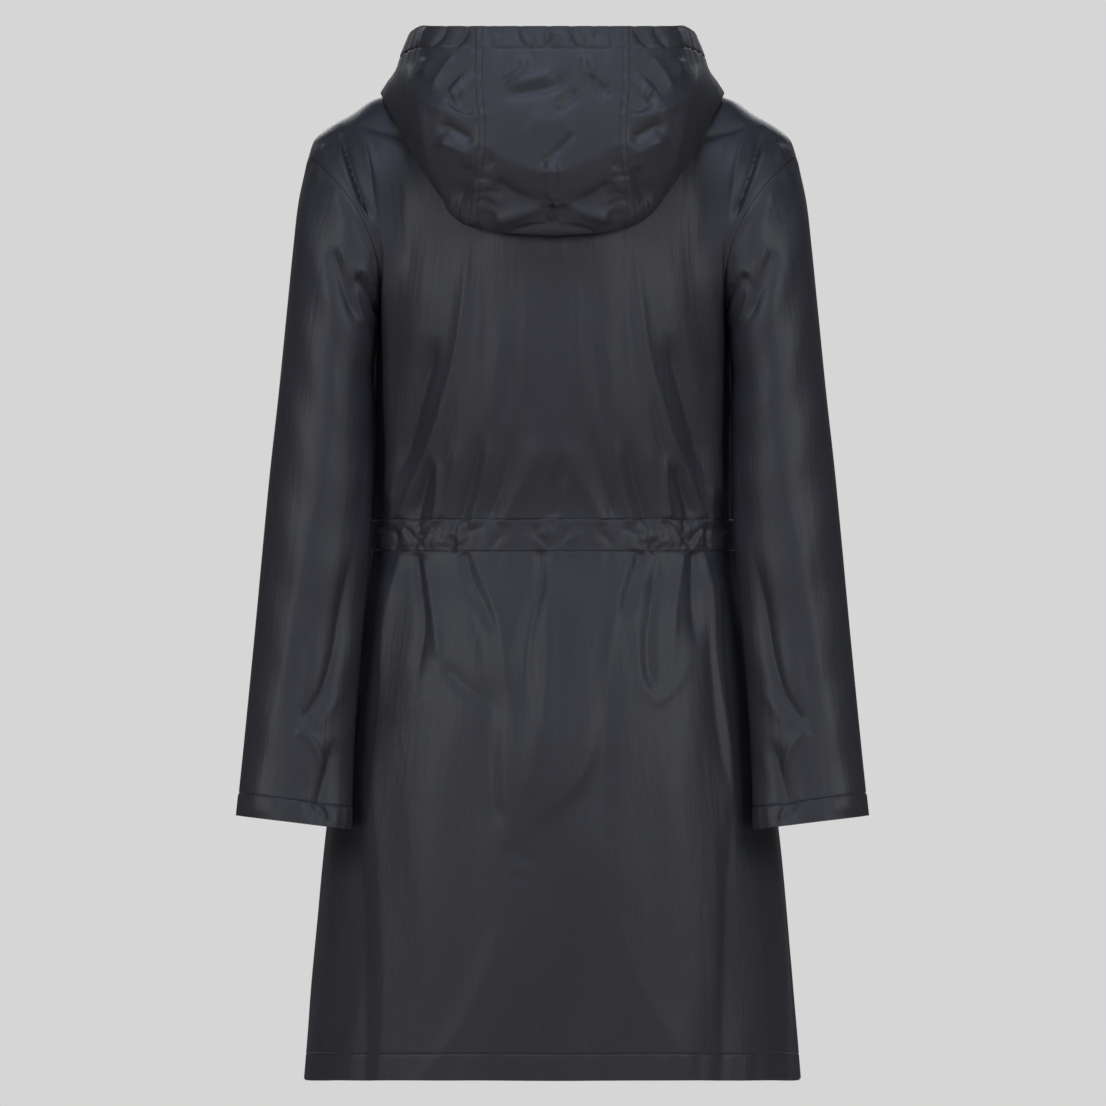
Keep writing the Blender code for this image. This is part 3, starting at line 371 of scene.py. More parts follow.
# Below the waist, on the back.
SKIRT_BACK = [
    crease(((142, -447), (151, -492), (158, -537), (162, -600)), 5, 2.0, (0.05, 0.4)),
    crease(((129, -447), (124, -482), (121, -513), (126, -554), (127, -580)), (5, 8), -4.3, (0.04, 0.3)),
    crease(((122, -450), (114, -496), (109, -530), (108, -552)), 5, 2.4, (0.08, 0.15)),
    crease(((108, -552), (86, -574), (60, -594), (54, -618)), (7, 12), -3.3, (0.2, 0.35), -0.3),
    crease(((111, -572), (128, -594), (146, -598), (158, -584)), 8, 1.2),
    crease(((84, -447), (75, -480), (62, -506), (52, -532)), (5, 8), -3.9, (0.05, 0.3), -0.3),
    crease(((76, -448), (57, -494), (48, -523), (45, -551), (48, -590)), 5.5, 2.2, (0.1, 0.35)),
    crease(((79, -500), (69, -528), (64, -560)), 6, -1.4),
    crease(((8, -445), (11, -478), (18, -508), (24, -540), (24, -575), (19, -612)), (5, 11), -4.7,
           (0.04, 0.35), 0.3),
    crease(((5, -452), (4, -500), (3, -545), (8, -610), (16, -668)), 7, 1.9, (0.2, 0.3)),
    crease(((28, -480), (38, -530), (41, -590), (36, -650)), 9, 1.7, (0.3, 0.4)),
    crease(((154, -455), (158, -540), (166, -640), (176, -760)), 9, 3.4, (0.1, 0.3), -0.6),
    crease(((-154, -455), (-158, -540), (-166, -640), (-176, -760)), 9, 3.4, (0.1, 0.3), 0.6),
    crease(((-18, -450), (-24, -480), (-16, -500)), 6, -1.7, (0.1, 0.5)),
    crease(((60, -596), (60, -644), (57, -684), (47, -712)), (10, 9), -2.6, (0.4, 0.2)),
    crease(((47, -590), (45, -644), (43, -684), (35, -722)), 8, 2.0, (0.4, 0.3), -0.35),
    crease(((-38, -560), (-36, -620), (-30, -652), (-14, -674), (10, -694), (33, -722)), 17, 3.6,
           (0.5, 0.3), 0.5),
    crease(((-52, -610), (-46, -656), (-26, -690), (-2, -712)), 18, -3.0, (0.4, 0.4)),
    crease(((18, -600), (20, -650), (27, -690)), 15, 2.2, (0.4, 0.3)),
    crease(((45, -722), (24, -738), (10, -742)), 10, -2.2, (0.3, 0.4)),
    crease(((42, -752), (18, -758)), 6, -1.6, (0.3, 0.4)),
    crease(((-142, -447), (-148, -480), (-152, -540), (-160, -600), (-172, -680)), 5, 2.4, (0.04, 0.4)),
    crease(((-146, -500), (-150, -560), (-158, -630), (-166, -680)), 6, -2.9),
    crease(((-133, -447), (-132, -480), (-137, -545)), (5, 8), -4.3, (0.04, 0.4)),
    crease(((-124, -447), (-117, -490), (-114, -545)), 5, 1.9, (0.06, 0.4)),
    crease(((-82, -500), (-82, -550), (-88, -577), (-98, -588), (-116, -574), (-132, -535)), 5, 1.5),
    crease(((-101, -447), (-94, -500), (-90, -545), (-96, -580)), (6, 10), -4.3, (0.25, 0.15), 0.3),
    crease(((-84, -447), (-75, -478), (-66, -514)), 7, -3.9, (0.05, 0.35), 0.3),
    crease(((-76, -448), (-65, -480), (-57, -520), (-50, -570)), 5.5, 2.0, (0.08, 0.4)),
    crease(((-56, -560), (-50, -620), (-48, -690), (-58, -760)), 17, -2.7, (0.3, 0.4)),
    crease(((140, -600), (134, -700), (120, -800), (118, -900)), 34, 2.6, (0.3, 0.4)),
    crease(((-102, -600), (-110, -700), (-116, -800), (-120, -900)), 32, 2.6, (0.3, 0.4)),
    crease(((4, -690), (-8, -770), (-12, -840), (-8, -900), (0, -1000)), (22, 66), -23.0, (1.0, 0.0)),
    crease(((10, -540), (0, -640), (-4, -730)), (26, 34), 4.0, (0.5, 0.5)),
    crease(((40, -770), (58, -832), (92, -900), (136, -960)), 14, 2.1, (0.4, 0.05)),
    crease(((-44, -765), (-64, -805), (-86, -862), (-112, -905), (-150, -975)), 16, 2.0, (0.4, 0.05)),
    crease(((189, -690), (179, -780), (176, -870), (178, -975)), 10, -3.6, (0.25, 0.1)),
    crease(((165, -620), (164, -720), (158, -850), (166, -975)), 8, 1.7, (0.3, 0.1)),
    crease(((-171, -660), (-165, -770), (-162, -860), (-165, -975)), 9, -3.3, (0.25, 0.1)),
    crease(((-150, -690), (-154, -800), (-152, -900)), 7, 1.7, (0.3, 0.3)),
    crease(((-192, -700), (-196, -820), (-200, -975)), 9, 1.4, (0.3, 0.1)),
    crease(((205, -760), (204, -860), (208, -975)), 8, 1.4, (0.3, 0.1)),
]

# On the back of each sleeve; X is away from the centre line.
SLEEVE_BACK = [
    crease(((213, -158), (207, -240), (206, -310), (217, -380), (233, -450), (246, -520), (258, -585),
            (268, -630), (279, -700)), 15, 2.6, (0.12, 0.02)),
    crease(((211, -156), (202, -182), (191, -212), (182, -234)), 5.5, -4.4),
    crease(((201, -156), (192, -182), (187, -200)), 5, 2.6),
    crease(((188, -190), (179, -192), (170, -205), (163, -230)), 3.2, -6.0, (0.15, 0.2)),
    crease(((190, -184), (177, -184), (166, -198)), 3.0, 2.4, (0.2, 0.2)),
    crease(((186, -198), (183, -214), (174, -238)), 3.2, 2.6),
    crease(((178, -240), (176, -300), (174, -360), (184, -432)), 8, -2.6),
    crease(((184, -430), (196, -497), (205, -545), (217, -582), (240, -612)), (10, 4.5), -5.4, (0.3, 0.08)),
    crease(((196, -575), (210, -598), (229, -618)), 6, 1.6),
    crease(((241, -612), (222, -633), (213, -660)), 4.5, 3.0, (0.12, 0.35)),
    crease(((203, -620), (212, -655), (221, -694)), 9, -5.0, (0.3, 0.15), -0.3),
    crease(((232, -520), (240, -560), (246, -600)), 9, -2.0),
    crease(((203, -104), (199, -125), (190, -150)), 6, 1.3, (0.1, 0.5)),
    crease(((190, -118), (184, -140), (174, -165)), 4, -1.6, (0.1, 0.5)),
    crease(((226, -90), (232, -140), (236, -200)), 6, 1.3),
    crease(((225, -683), (219, -699)), 2.4, -1.4, (0.2, 0.2)),
    crease(((232, -681), (229, -697)), 2.2, -1.1, (0.2, 0.2)),
    crease(((213, -684), (208, -702)), 2.4, -1.4, (0.2, 0.2)),
    crease(((218, -684), (214, -700)), 2.4, 1.1, (0.2, 0.2)),
]

# Over the shoulders, on both halves of the back and of the front.
SHOULDER_CREASES = [
    crease(((199, -44), (197, -62), (191, -84), (182, -110), (172, -138)), 3.3, -6.0, (0.30, 0.15), -0.3),
    crease(((187, -46), (178, -64), (171, -95), (166, -130), (161, -160)), 3.2, 2.8, (0.3, 0.2)),
    crease(((184, -44), (176, -47), (165, -50), (150, -54), (138, -62)), 4.2, -4.2, (0.3, 0.3)),
    crease(((206, -54), (203, -76)), 2.4, -2.2, (0.35, 0.4)),
    crease(((219, -66), (222, -82)), 2.4, -1.6, (0.4, 0.3)),
    crease(((213, -62), (215, -86)), 3.2, 1.6, (0.4, 0.3)),
    crease(((211, -58), (211, -93)), 2.6, -1.4, (0.3, 0.2)),
]

# On both halves of the front, and on single fronts (X above 0 is the wearer's left).
FRONT_PAIRS = [
    crease(((150, -95), (140, -150), (128, -215)), 9, -3.0),
    crease(((150, -215), (132, -262), (118, -318)), 7, -4.0, (0.15, 0.4)),
    crease(((158, -225), (146, -290), (140, -360)), 6, 2.4),
    crease(((60, -150), (66, -240), (74, -330)), 10, 2.0, (0.4, 0.4)),
    crease(((98, -280), (104, -350), (112, -420)), 4, 2.4, (0.3, 0.06)),
    crease(((88, -320), (93, -370), (100, -420)), 5, -3.0, (0.3, 0.08)),
    crease(((56, -330), (50, -380), (50, -422)), 5, 2.4, (0.3, 0.08)),
    crease(((40, -340), (36, -385), (37, -422)), 5, -2.4, (0.3, 0.08)),
    crease(((124, -345), (132, -390), (141, -421)), 4.5, -3.4, (0.3, 0.08)),
    crease(((133, -444), (131, -490), (126, -560)), (5, 8), -5.5, (0.04, 0.4)),
    crease(((121, -445), (114, -495), (112, -560)), 4, 3.2, (0.06, 0.4)),
    crease(((96, -445), (88, -480), (78, -530)), 4.6, -4.4, (0.05, 0.4)),
    crease(((60, -445), (56, -500), (60, -570)), (5, 8), -4.4, (0.05, 0.4)),
    crease(((49, -446), (42, -510), (40, -590)), 5, 2.8, (0.08, 0.4)),
    crease(((144, -446), (152, -500), (160, -590)), 4, 3.0, (0.05, 0.4)),
    crease(((182, -700), (176, -800), (178, -975)), 10, -4.6, (0.25, 0.1)),
    crease(((140, -640), (138, -760), (146, -975)), 24, 4.2, (0.3, 0.1)),
]
FRONT_ONLY = [
    crease(((84, -560), (92, -700), (100, -975)), (14, 30), -7.0, (0.35, 0.05)),
    crease(((-78, -590), (-88, -740), (-92, -975)), (14, 32), -7.0, (0.35, 0.05)),
    crease(((52, -640), (50, -800), (54, -975)), 14, 3.2, (0.3, 0.05)),
    crease(((-46, -620), (-50, -780), (-48, -975)), 14, 3.2, (0.3, 0.05)),
    crease(((70, -480), (84, -560), (88, -620)), 5, 2.2),
    crease(((-84, -470), (-80, -540), (-66, -610)), 5, -3.2, (0.1, 0.4)),
    crease(((96, -110), (104, -170), (102, -240)), 9, -2.0),
    crease(((-92, -120), (-96, -190), (-104, -250)), 9, -2.0),
]

# On the front of each sleeve.
SLEEVE_FRONT = [
    crease(((205, -150), (196, -200), (182, -240)), 5, -4.0, (0.15, 0.3)),
    crease(((196, -180), (186, -215), (174, -240)), 4, 2.6),
    crease(((222, -170), (216, -260), (218, -340)), 12, 3.0),
    crease(((250, -395), (224, -412), (192, -418)), 6, -5.0, (0.3, 0.2)),
    crease(((252, -420), (226, -436), (196, -440)), 6, 3.4, (0.3, 0.2)),
    crease(((258, -450), (230, -470), (200, -466)), 7, -4.2, (0.35, 0.2)),
    crease(((262, -520), (238, -540), (208, -532)), 8, -3.0, (0.35, 0.3)),
    crease(((246, -470), (252, -560), (262, -700)), 10, 3.0, (0.3, 0.05)),
    crease(((222, -600), (226, -650), (230, -702)), 8, -3.4, (0.4, 0.1)),
    crease(((276, -683), (279, -699)), 2.4, -1.8, (0.2, 0.2)),
    crease(((246, -682), (246, -700)), 2.4, -1.6, (0.2, 0.2)),
]

# On the hood's pouch, both halves.
HOOD_PAIRS = [
    crease(((144, -18), (136, -45), (126, -74), (111, -104), (88, -134)), (7, 9), -3.6, (0.5, 0.2)),
    crease(((134, 6), (126, -18), (120, -53), (113, -88), (94, -124), (70, -145)), (5.2, 6.9), 4.5,
           (0.35, 0.1)),
    crease(((136, 14), (124, -19), (106, -30), (74, -40), (60, -44)), 6.9, 3.6, (0.2, 0.3)),
    crease(((98, -14), (94, -27), (87, -33), (72, -36)), 3.9, -3.9),
    crease(((94, -8), (82, -18)), 11.5, 4.2),
    crease(((108, -44), (93, -52), (72, -64)), 6.9, -5.9),
    crease(((110, -60), (93, -66), (72, -78)), 8, 5),
    crease(((76, -82), (82, -100), (90, -120)), 8, -4.8),
    crease(((102, -114), (84, -128), (64, -139)), 6.9, 4.2),
    crease(((92, 20), (104, 3), (114, -14)), 4.5, 2.8),
    crease(((118, 18), (121, -4)), 5.5, 2.4, (0.3, 0.4)),
    crease(((72, -58), (60, -66), (45, -78), (25, -85), (-6, -87)), 11.5, 3.6, (0.2, 0.02)),
    crease(((58, -97), (42, -109), (22, -119), (2, -123)), (8, 9.2), -7.8, (0.2, 0.1)),
    crease(((60, -137), (40, -133), (20, -126), (0, -121)), 6.9, 6.2, (0.2, 0.1)),
    crease(((44, -149), (20, -143), (-6, -140)), 2.8, -4.2, (0.3, 0.02)),
    crease(((55, -86), (74, -83)), 2.6, -1.2),
    crease(((54, -100), (66, -97), (78, -98)), 2.6, -1.9),
    crease(((46, -115), (60, -110), (74, -113)), 3, -2.5),
    crease(((76, -118), (63, -119), (50, -126)), 2.8, -2.6),
    crease(((50, -134), (64, -131), (76, -134)), 3, -1.7),
    crease(((54, -84), (64, -76)), 3, -1.8),
]
HOOD_ONLY = [
    crease(((0, -84), (0, -118)), (14.9, 4.6), 4.8, (0.2, 0.1)),
    crease(((0, -121), (0, -140)), (5.8, 14.9), -5.6, (0.1, 0.2)),
    crease(((27, 21), (27, 7), (36, 0), (50, -9)), 3.2, 2.5),
    crease(((-28, 21), (-31, 8), (-40, 0), (-53, -10)), 3.2, 2.5),
    crease(((50, -20), (23, -15), (-5, -8), (-20, 4)), 5.8, -3.9),
    crease(((44, -9), (20, -5), (-4, 2)), 5.8, 2.5),
    crease(((-34, 2), (-42, -9), (-56, -18)), 6.3, -3.1),
    crease(((-3, -34), (-14, -24), (-26, -14)), 4.6, -3.4),
    crease(((14, -86), (-5, -71), (-23, -52)), 3.2, -3.6),
    crease(((30, -40), (4, -46), (-24, -38)), 13.8, 2.8),
]

# Within the casing round the hood's opening, seen from behind.
HOOD_CASING_CREASES = [
    crease(((99, 48), (103, 37), (114, 26)), 3, -2.6, (0.1, 0.1)),
    crease(((79, 48), (83, 36), (92, 26)), 3, -3.0, (0.1, 0.1)),
    crease(((60, 48), (57, 25)), 2.8, -2.0, (0.1, 0.1)),
    crease(((49, 48), (53, 36)), 2.6, -1.6, (0.1, 0.3)),
    crease(((31, 48), (27, 36), (19, 26)), 3, -3.0, (0.1, 0.1)),
    crease(((3, 48), (6, 25)), 2.6, -2.6, (0.1, 0.1)),
    crease(((-4, 40), (-2, 27)), 4, 1.8),
    crease(((-17, 48), (-21, 37), (-28, 26)), 3, -3.0, (0.1, 0.1)),
    crease(((-39, 48), (-42, 34)), 2.6, -1.6, (0.1, 0.3)),
    crease(((-54, 48), (-57, 25)), 2.8, -2.0, (0.1, 0.1)),
    crease(((-76, 48), (-81, 37), (-91, 26)), 3, -3.0, (0.1, 0.1)),
    crease(((-95, 48), (-99, 37), (-108, 26)), 3, -2.6, (0.1, 0.1)),
    crease(((118, 47), (124, 26)), 4, 1.6),
    crease(((-116, 47), (-122, 26)), 4, 1.6),
]


# ---- small mathematics ----
def smooth_track(at, places, values):
    """Values along a table, joined by a smooth curve (cubic Hermite)."""
    places = np.asarray(places, float)
    values = np.asarray(values, float)
    slopes = np.gradient(values, places)
    at = np.clip(at, places.min(), places.max())
    i = np.clip(np.searchsorted(places, at, side="right") - 1, 0, len(places) - 2)
    span = places[i + 1] - places[i]
    t = (at - places[i]) / span
    return ((2 * t**3 - 3 * t**2 + 1) * values[i]
            + (t**3 - 2 * t**2 + t) * span * slopes[i]
            + (3 * t**2 - 2 * t**3) * values[i + 1]
            + (t**3 - t**2) * span * slopes[i + 1])


def column(table, name):
    return np.array([getattr(row, name) for row in table])


def smooth_step(at, low, high):
    """0 at low, 1 at high, eased at both ends; low may be the larger."""
    t = np.clip((at - low) / (high - low), 0.0, 1.0)
    return t * t * (3 - 2 * t)


def signed_power(value, power):
    return np.sign(value) * np.abs(value) ** power


def stack(x, y, z):
    return np.stack(np.broadcast_arrays(x, y, z), axis=-1)


def side_of(hand):
    """Factors that leave a point on the left (1) or take it to the right (-1)."""
    return np.array([hand, 1.0, 1.0])


def from_middle(turn):
    """0 at the centre line of the back or the front, 1 at the side seam."""
    return np.where(np.abs(turn) <= 1.0, np.abs(turn), 2.0 - np.abs(turn))


def run_along(points):
    """Length from the first point to each one of a line."""
    return np.append(0.0, np.cumsum(np.linalg.norm(np.diff(points, axis=0), axis=1)))


def unit(vectors):
    return vectors / np.maximum(np.linalg.norm(vectors, axis=-1, keepdims=True), 1e-12)


# ---- the body's surface ----
def body_ring(turn, z):
    """Point of the body's tube below the underarm."""
    order = slice(None, None, -1)
    heights = column(BODY_RINGS, "z")[order]

    def size(name):
        return smooth_track(z, heights, column(BODY_RINGS, name)[order])

    angle = np.radians(90.0 * (1.0 - turn))
    across = signed_power(np.cos(angle), 2 / RING_POWER)
    deep = signed_power(np.sin(angle), 2 / RING_POWER)
    side = size("side_y")
    reach = np.where(deep >= 0, size("back_y") - side, side - size("front_y"))
    return stack(size("half_width") * across, side + reach * deep, z)


def armhole(down, facing):
    """The armhole seam from the shoulder tip to the underarm; facing is 1 behind, -1 in front."""
    return sleeve_ring(SLEEVE_RINGS[0], 180.0 * down, facing)


def sleeve_ring(ring, degrees, facing=1.0):
    angle = np.radians(degrees)
    chord = np.array([ring.outer_x - ring.inner_x, 0.0, ring.outer_z - ring.inner_z])
    middle = np.array([(ring.outer_x + ring.inner_x) / 2, ring.centre_y, (ring.outer_z + ring.inner_z) / 2])
    inward = np.array([-chord[2], 0.0, chord[0]]) / np.hypot(chord[0], chord[2])
    deep = np.array([0.0, ring.half_depth, 0.0])
    cos = np.cos(angle)[..., None]
    sin = np.sin(angle)[..., None]
    return middle + chord / 2 * cos + deep * sin * np.asarray(facing)[..., None] + inward * ring.bow * sin**2


def top_edge(across, facing):
    """Neckline and shoulder seam; across is 0 at the centre line and 1 at the shoulder tip."""
    round_neck = np.radians(90.0 * np.clip(across / NECK_SHARE, 0.0, 1.0))
    neck_y = np.where(facing > 0, NECK_BACK_Y, NECK_FRONT_Y) * np.cos(round_neck)
    neck_end_z = np.where(facing > 0, NECK_BACK_Z, NECK_FRONT_Z)
    neck_z = NECK_SIDE_Z + (neck_end_z - NECK_SIDE_Z) * (1 - np.sin(round_neck))
    neck = stack(NECK_HALF_WIDTH * np.sin(round_neck), neck_y, neck_z)
    along = (across - NECK_SHARE) / (1 - NECK_SHARE)
    places = column(SHOULDER, "along")
    seam = stack(*(smooth_track(along, places, column(SHOULDER, name)) for name in "xyz"))
    return np.where((across <= NECK_SHARE)[..., None], neck, seam)


def softened_top(across, facing, down):
    """The top edge as the cloth below it follows it, the neckline's corner rounded further down."""
    reach = CORNER_REACH * smooth_step(down, 0.0, 0.30) * smooth_step(across, 0.12, 0.38)
    reach = np.minimum(reach, 1.0 - across)
    return np.mean([top_edge(across + reach * share, facing) for share in np.linspace(-1.0, 1.0, 9)], axis=0)


def upper_body(turn, down):
    """Yoke of the coat between its top edge and the underarm ring."""
    turn, down = np.broadcast_arrays(np.asarray(turn, float), np.asarray(down, float))
    hand = np.where(turn < 0, -1.0, 1.0)
    facing = np.where(np.abs(turn) <= 1.0, 1.0, -1.0)
    across = from_middle(turn)
    top = softened_top(across, facing, down)
    chest = body_ring(np.abs(turn), np.full(turn.shape, UNDERARM_Z))
    one = np.ones(turn.shape)
    tip = top_edge(one, facing)
    pit = body_ring(one, np.full(turn.shape, UNDERARM_Z))

    def ease(share):
        return down ** (1.0 + 0.45 * smooth_step(share, 0.1, 0.8))

    base = top + (chest - top) * ease(across)[..., None]
    side_base = tip + (pit - tip) * ease(one)[..., None]
    drawn = armhole(down, facing) - side_base
    weight = stack(across**3, 0.30 + 0.70 * across**2, across**2)
    point = base + drawn * weight
    point[..., 0] *= hand
    return point


def cut_body(turn, down):
    """The coat's body as its yoke over its tube, meeting at the underarm."""
    yoke = upper_body(turn, np.clip(down, 0.0, 1.0))
    lift = HEM_LIFT * smooth_step(np.abs(np.cos(np.radians(90.0 * (1 - turn)))), 0.985, 1.0)
    lift = lift * smooth_step(down, 1.93, 2.0)
    z = UNDERARM_Z - SKIRT_LENGTH * np.clip(down - 1.0, 0.0, 1.0) + lift
    skirt = body_ring(np.abs(turn), z)
    skirt[..., 0] *= np.where(turn < 0, -1.0, 1.0)
    return np.where((down <= 1.0)[..., None], yoke, skirt)


def coat(turn, down):
    """Outer surface of the coat's body, its yoke eased into the tube, without creases."""
    turn, down = np.broadcast_arrays(np.asarray(turn, float), np.asarray(down, float))
    point = cut_body(turn, down)
    high, low = 1.0 - EASE_REACH / YOKE_LENGTH, 1.0 + EASE_REACH / SKIRT_LENGTH
    inside = (down > high) & (down < low)
    if not inside.any():
        return point
    at, on = turn[inside], down[inside]
    first, last, step = np.full(at.shape, high), np.full(at.shape, low), 1e-4
    start, end = cut_body(at, first), cut_body(at, last)
    leaving = (start - cut_body(at, first - step)) * (2 * EASE_REACH / (step * YOKE_LENGTH))
    arriving = (cut_body(at, last + step) - end) * (2 * EASE_REACH / (step * SKIRT_LENGTH))
    above = (on - high) * YOKE_LENGTH
    below = EASE_REACH + (on - 1.0) * SKIRT_LENGTH
    t = (np.where(on <= 1.0, above, below) / (2 * EASE_REACH))[:, None]
    eased = ((2 * t**3 - 3 * t**2 + 1) * start + (t**3 - 2 * t**2 + t) * leaving
             + (3 * t**2 - 2 * t**3) * end + (t**3 - t**2) * arriving)
    across = from_middle(at)
    free = 1.0 - smooth_step(across, 0.80, 0.97)
    point[inside] += (eased - point[inside]) * free[:, None]
    return point


def one_sided(turn, down, step):
    """The place `step` further round, kept on its own side of an armhole and of the centre front."""
    moved = turn + step
    behind = np.abs(turn) <= 1.0
    hand = np.where(turn < 0, -1.0, 1.0)
    inside = np.where(behind, np.clip(moved, -1.0, 1.0), hand * np.clip(np.abs(moved), 1.0 + 1e-9, 2.0))
    return np.where(down < 1.0, inside, np.clip(moved, -2.0, 2.0))


def plain_normal(turn, down):
    """Unit normal of the coat's surface, pointing out."""
    step = 1e-3
    by_turn = coat(one_sided(turn, down, step), down) - coat(one_sided(turn, down, -step), down)
    by_down = coat(turn, down + step) - coat(turn, np.maximum(down - step, 0.0))
    return unit(np.cross(by_turn, by_down))


def coat_normal(turn, down):
    """Unit normal, shared by the panels that meet at the shoulder seam and at the armhole."""
    turn, down = np.broadcast_arrays(np.asarray(turn, float), np.asarray(down, float))
    normal = plain_normal(turn, down)
    hand = np.where(turn < 0, -1.0, 1.0)
    across = from_middle(turn)
    facing = np.where(np.abs(turn) <= 1.0, 1.0, -1.0)
    other = plain_normal(hand * (2.0 - np.abs(turn)), down)
    at_shoulder = (1.0 - smooth_step(down, 0.0, 0.05)) * (across > NECK_SHARE)
    normal = unit(normal + other * at_shoulder[..., None])
    at_armhole = smooth_step(across, 0.96, 1.0) * (down < 1.0 - 1e-6)
    flip = stack(hand, 1.0, 1.0)
    return unit(normal + sleeve_top_normal(np.clip(down, 0.0, 1.0), facing) * flip * at_armhole[..., None])


def sleeve_top_normal(down, facing):
    """Normal of the left sleeve where it meets the armhole."""
    degrees = 180.0 * down
    ring = SLEEVE_RINGS[0]
    step = 0.5
    along_ring = sleeve_ring(ring, degrees + step, facing) - sleeve_ring(ring, degrees - step, facing)
    along_sleeve = sleeve_ring(SLEEVE_RINGS[1], degrees, facing) - sleeve_ring(ring, degrees, facing)
    return unit(np.cross(along_ring, along_sleeve)) * np.asarray(facing)[..., None] * -1.0


def down_at(z):
    return 1.0 + (UNDERARM_Z - z) / (UNDERARM_Z - HEM_Z)


def sleeve_points(rows, degrees):
    """The left sleeve's outer surface: rows from the armhole (0) to the cuff (1)."""
    places = np.linspace(0.0, 1.0, len(SLEEVE_RINGS))
    sizes = {name: smooth_track(rows, places, column(SLEEVE_RINGS, name)) for name in SleeveRing._fields}
    return np.array([
        sleeve_ring(SleeveRing(**{name: sizes[name][i] for name in SleeveRing._fields}), degrees)
        for i in range(len(rows))
    ])


# ---- the hood's surface ----
def hood_value(turn, name):
    return smooth_track(turn, column(HOOD_RIBS, "turn"), column(HOOD_RIBS, name))


def off_coat(across, over, off):
    """A place `off` outside the coat: `over` the shoulder is positive behind, negative in front."""
    behind = over >= 0
    turn = np.where(behind, across, 2.0 - across)
    return coat(turn, np.abs(over)) + coat_normal(turn, np.abs(over)) * np.asarray(off)[..., None]


def hood_knots(turns):
    """Knots of the lying hood's ribs: from the neckline seam up its stand, out under it to its
    fold, up its belly and to its edge. Turns are all on the left."""
    facing = np.where(turns <= 90.0, 1.0, -1.0)
    start = NECK_SHARE * (1.0 - np.abs(90.0 - turns) / 90.0)
    fold_across = hood_value(turns, "fold_across")
    fold_over = hood_value(turns, "fold_over")
    even = np.ones(turns.shape)
    seam = off_coat(start, facing * 1e-9, 0.0 * even)
    neck_out = unit(seam * np.array([1.0, 1.0, 0.0]))
    up = np.array([0.0, 0.0, 1.0])
    knots = [seam + up * HOOD_LIFT, seam + up * HOOD_STAND]
    knots.append(seam + up * (HOOD_STAND + HOOD_TURN_UP) + neck_out * HOOD_TURN_OUT)
    for share in (0.30, 0.62, 0.90):
        across = start + (fold_across - start) * share
        knots.append(off_coat(across, facing * 0.02 + fold_over * share, HOOD_UNDER_GAP * even))
    fold_gap = HOOD_FOLD_GAP + (HOOD_FOLD_GAP_SIDE - HOOD_FOLD_GAP) * smooth_step(turns, 30.0, 80.0)
    knots.append(off_coat(fold_across, fold_over + facing * 0.03, fold_gap))
    tuck = HOOD_SIDE_TUCK * np.exp(-((turns - HOOD_TUCK_TURN) / HOOD_TUCK_SPREAD) ** 2)
    knots[-1] -= neck_out * tuck[:, None]
    belly = stack(*(hood_value(turns, "belly_" + axis) for axis in "xyz"))
    edge = stack(*(hood_value(turns, "edge_" + axis) for axis in "xyz"))
    swell = (1.0 - 0.9 * smooth_step(turns, 30.0, 90.0))[:, None]
    knots.append(knots[-1] * 0.55 + belly * 0.45 + neck_out * HOOD_LOW_SWELL * swell)
    knots.append(belly)
    knots.append(belly * 0.45 + edge * 0.55 + neck_out * HOOD_HIGH_SWELL * swell)
    knots.append(edge)
    knots = np.stack(knots, axis=1)
    shares = (np.arange(knots.shape[1]) / HOOD_BELLY_KNOT)[None, :, None]
    straight = knots[:, :1] + (belly - knots[:, 0])[:, None] * shares
    lying = smooth_step(turns, HOOD_FRONT_TURN, HOOD_LIES_FROM)[:, None, None]
    under = slice(0, HOOD_BELLY_KNOT)
    knots[:, under] += (straight - knots)[:, under] * (1.0 - lying)
    return knots


def hood_points(turns, rows):
    """Outer surface of the hood; turns below 0 mirror those above. Rows 0 to 1 go from the
    neckline seam to the casing's stitch line, and rows 1 to 2 across the casing to its edge."""
    ribs = []
    for turn, knots in zip(turns, hood_knots(np.abs(turns))):
        places = run_along(knots)
        casing_start = places[-1] - HOOD_CASING
        at = np.where(rows <= 1.0, rows * casing_start, casing_start + (rows - 1.0) * HOOD_CASING)
        rib = stack(*(smooth_track(at, places, knots[:, axis]) for axis in range(3)))
        ribs.append(rib * np.array([1.0 if turn >= 0 else -1.0, 1.0, 1.0]))
    return np.array(ribs).transpose(1, 0, 2)


# ---- creases ----
def rounded(path):
    """Points close together on a smooth curve through a crease's path."""
    knots = np.array(path, float)
    places = run_along(knots)
    at = np.linspace(0.0, places[-1], max(6, int(places[-1] / CREASE_STEP)))
    if len(knots) == 2:
        return at, np.stack([np.interp(at, places, knots[:, axis]) for axis in (0, 1)], axis=1)
    return at, np.stack([smooth_track(at, places, knots[:, axis]) for axis in (0, 1)], axis=1)


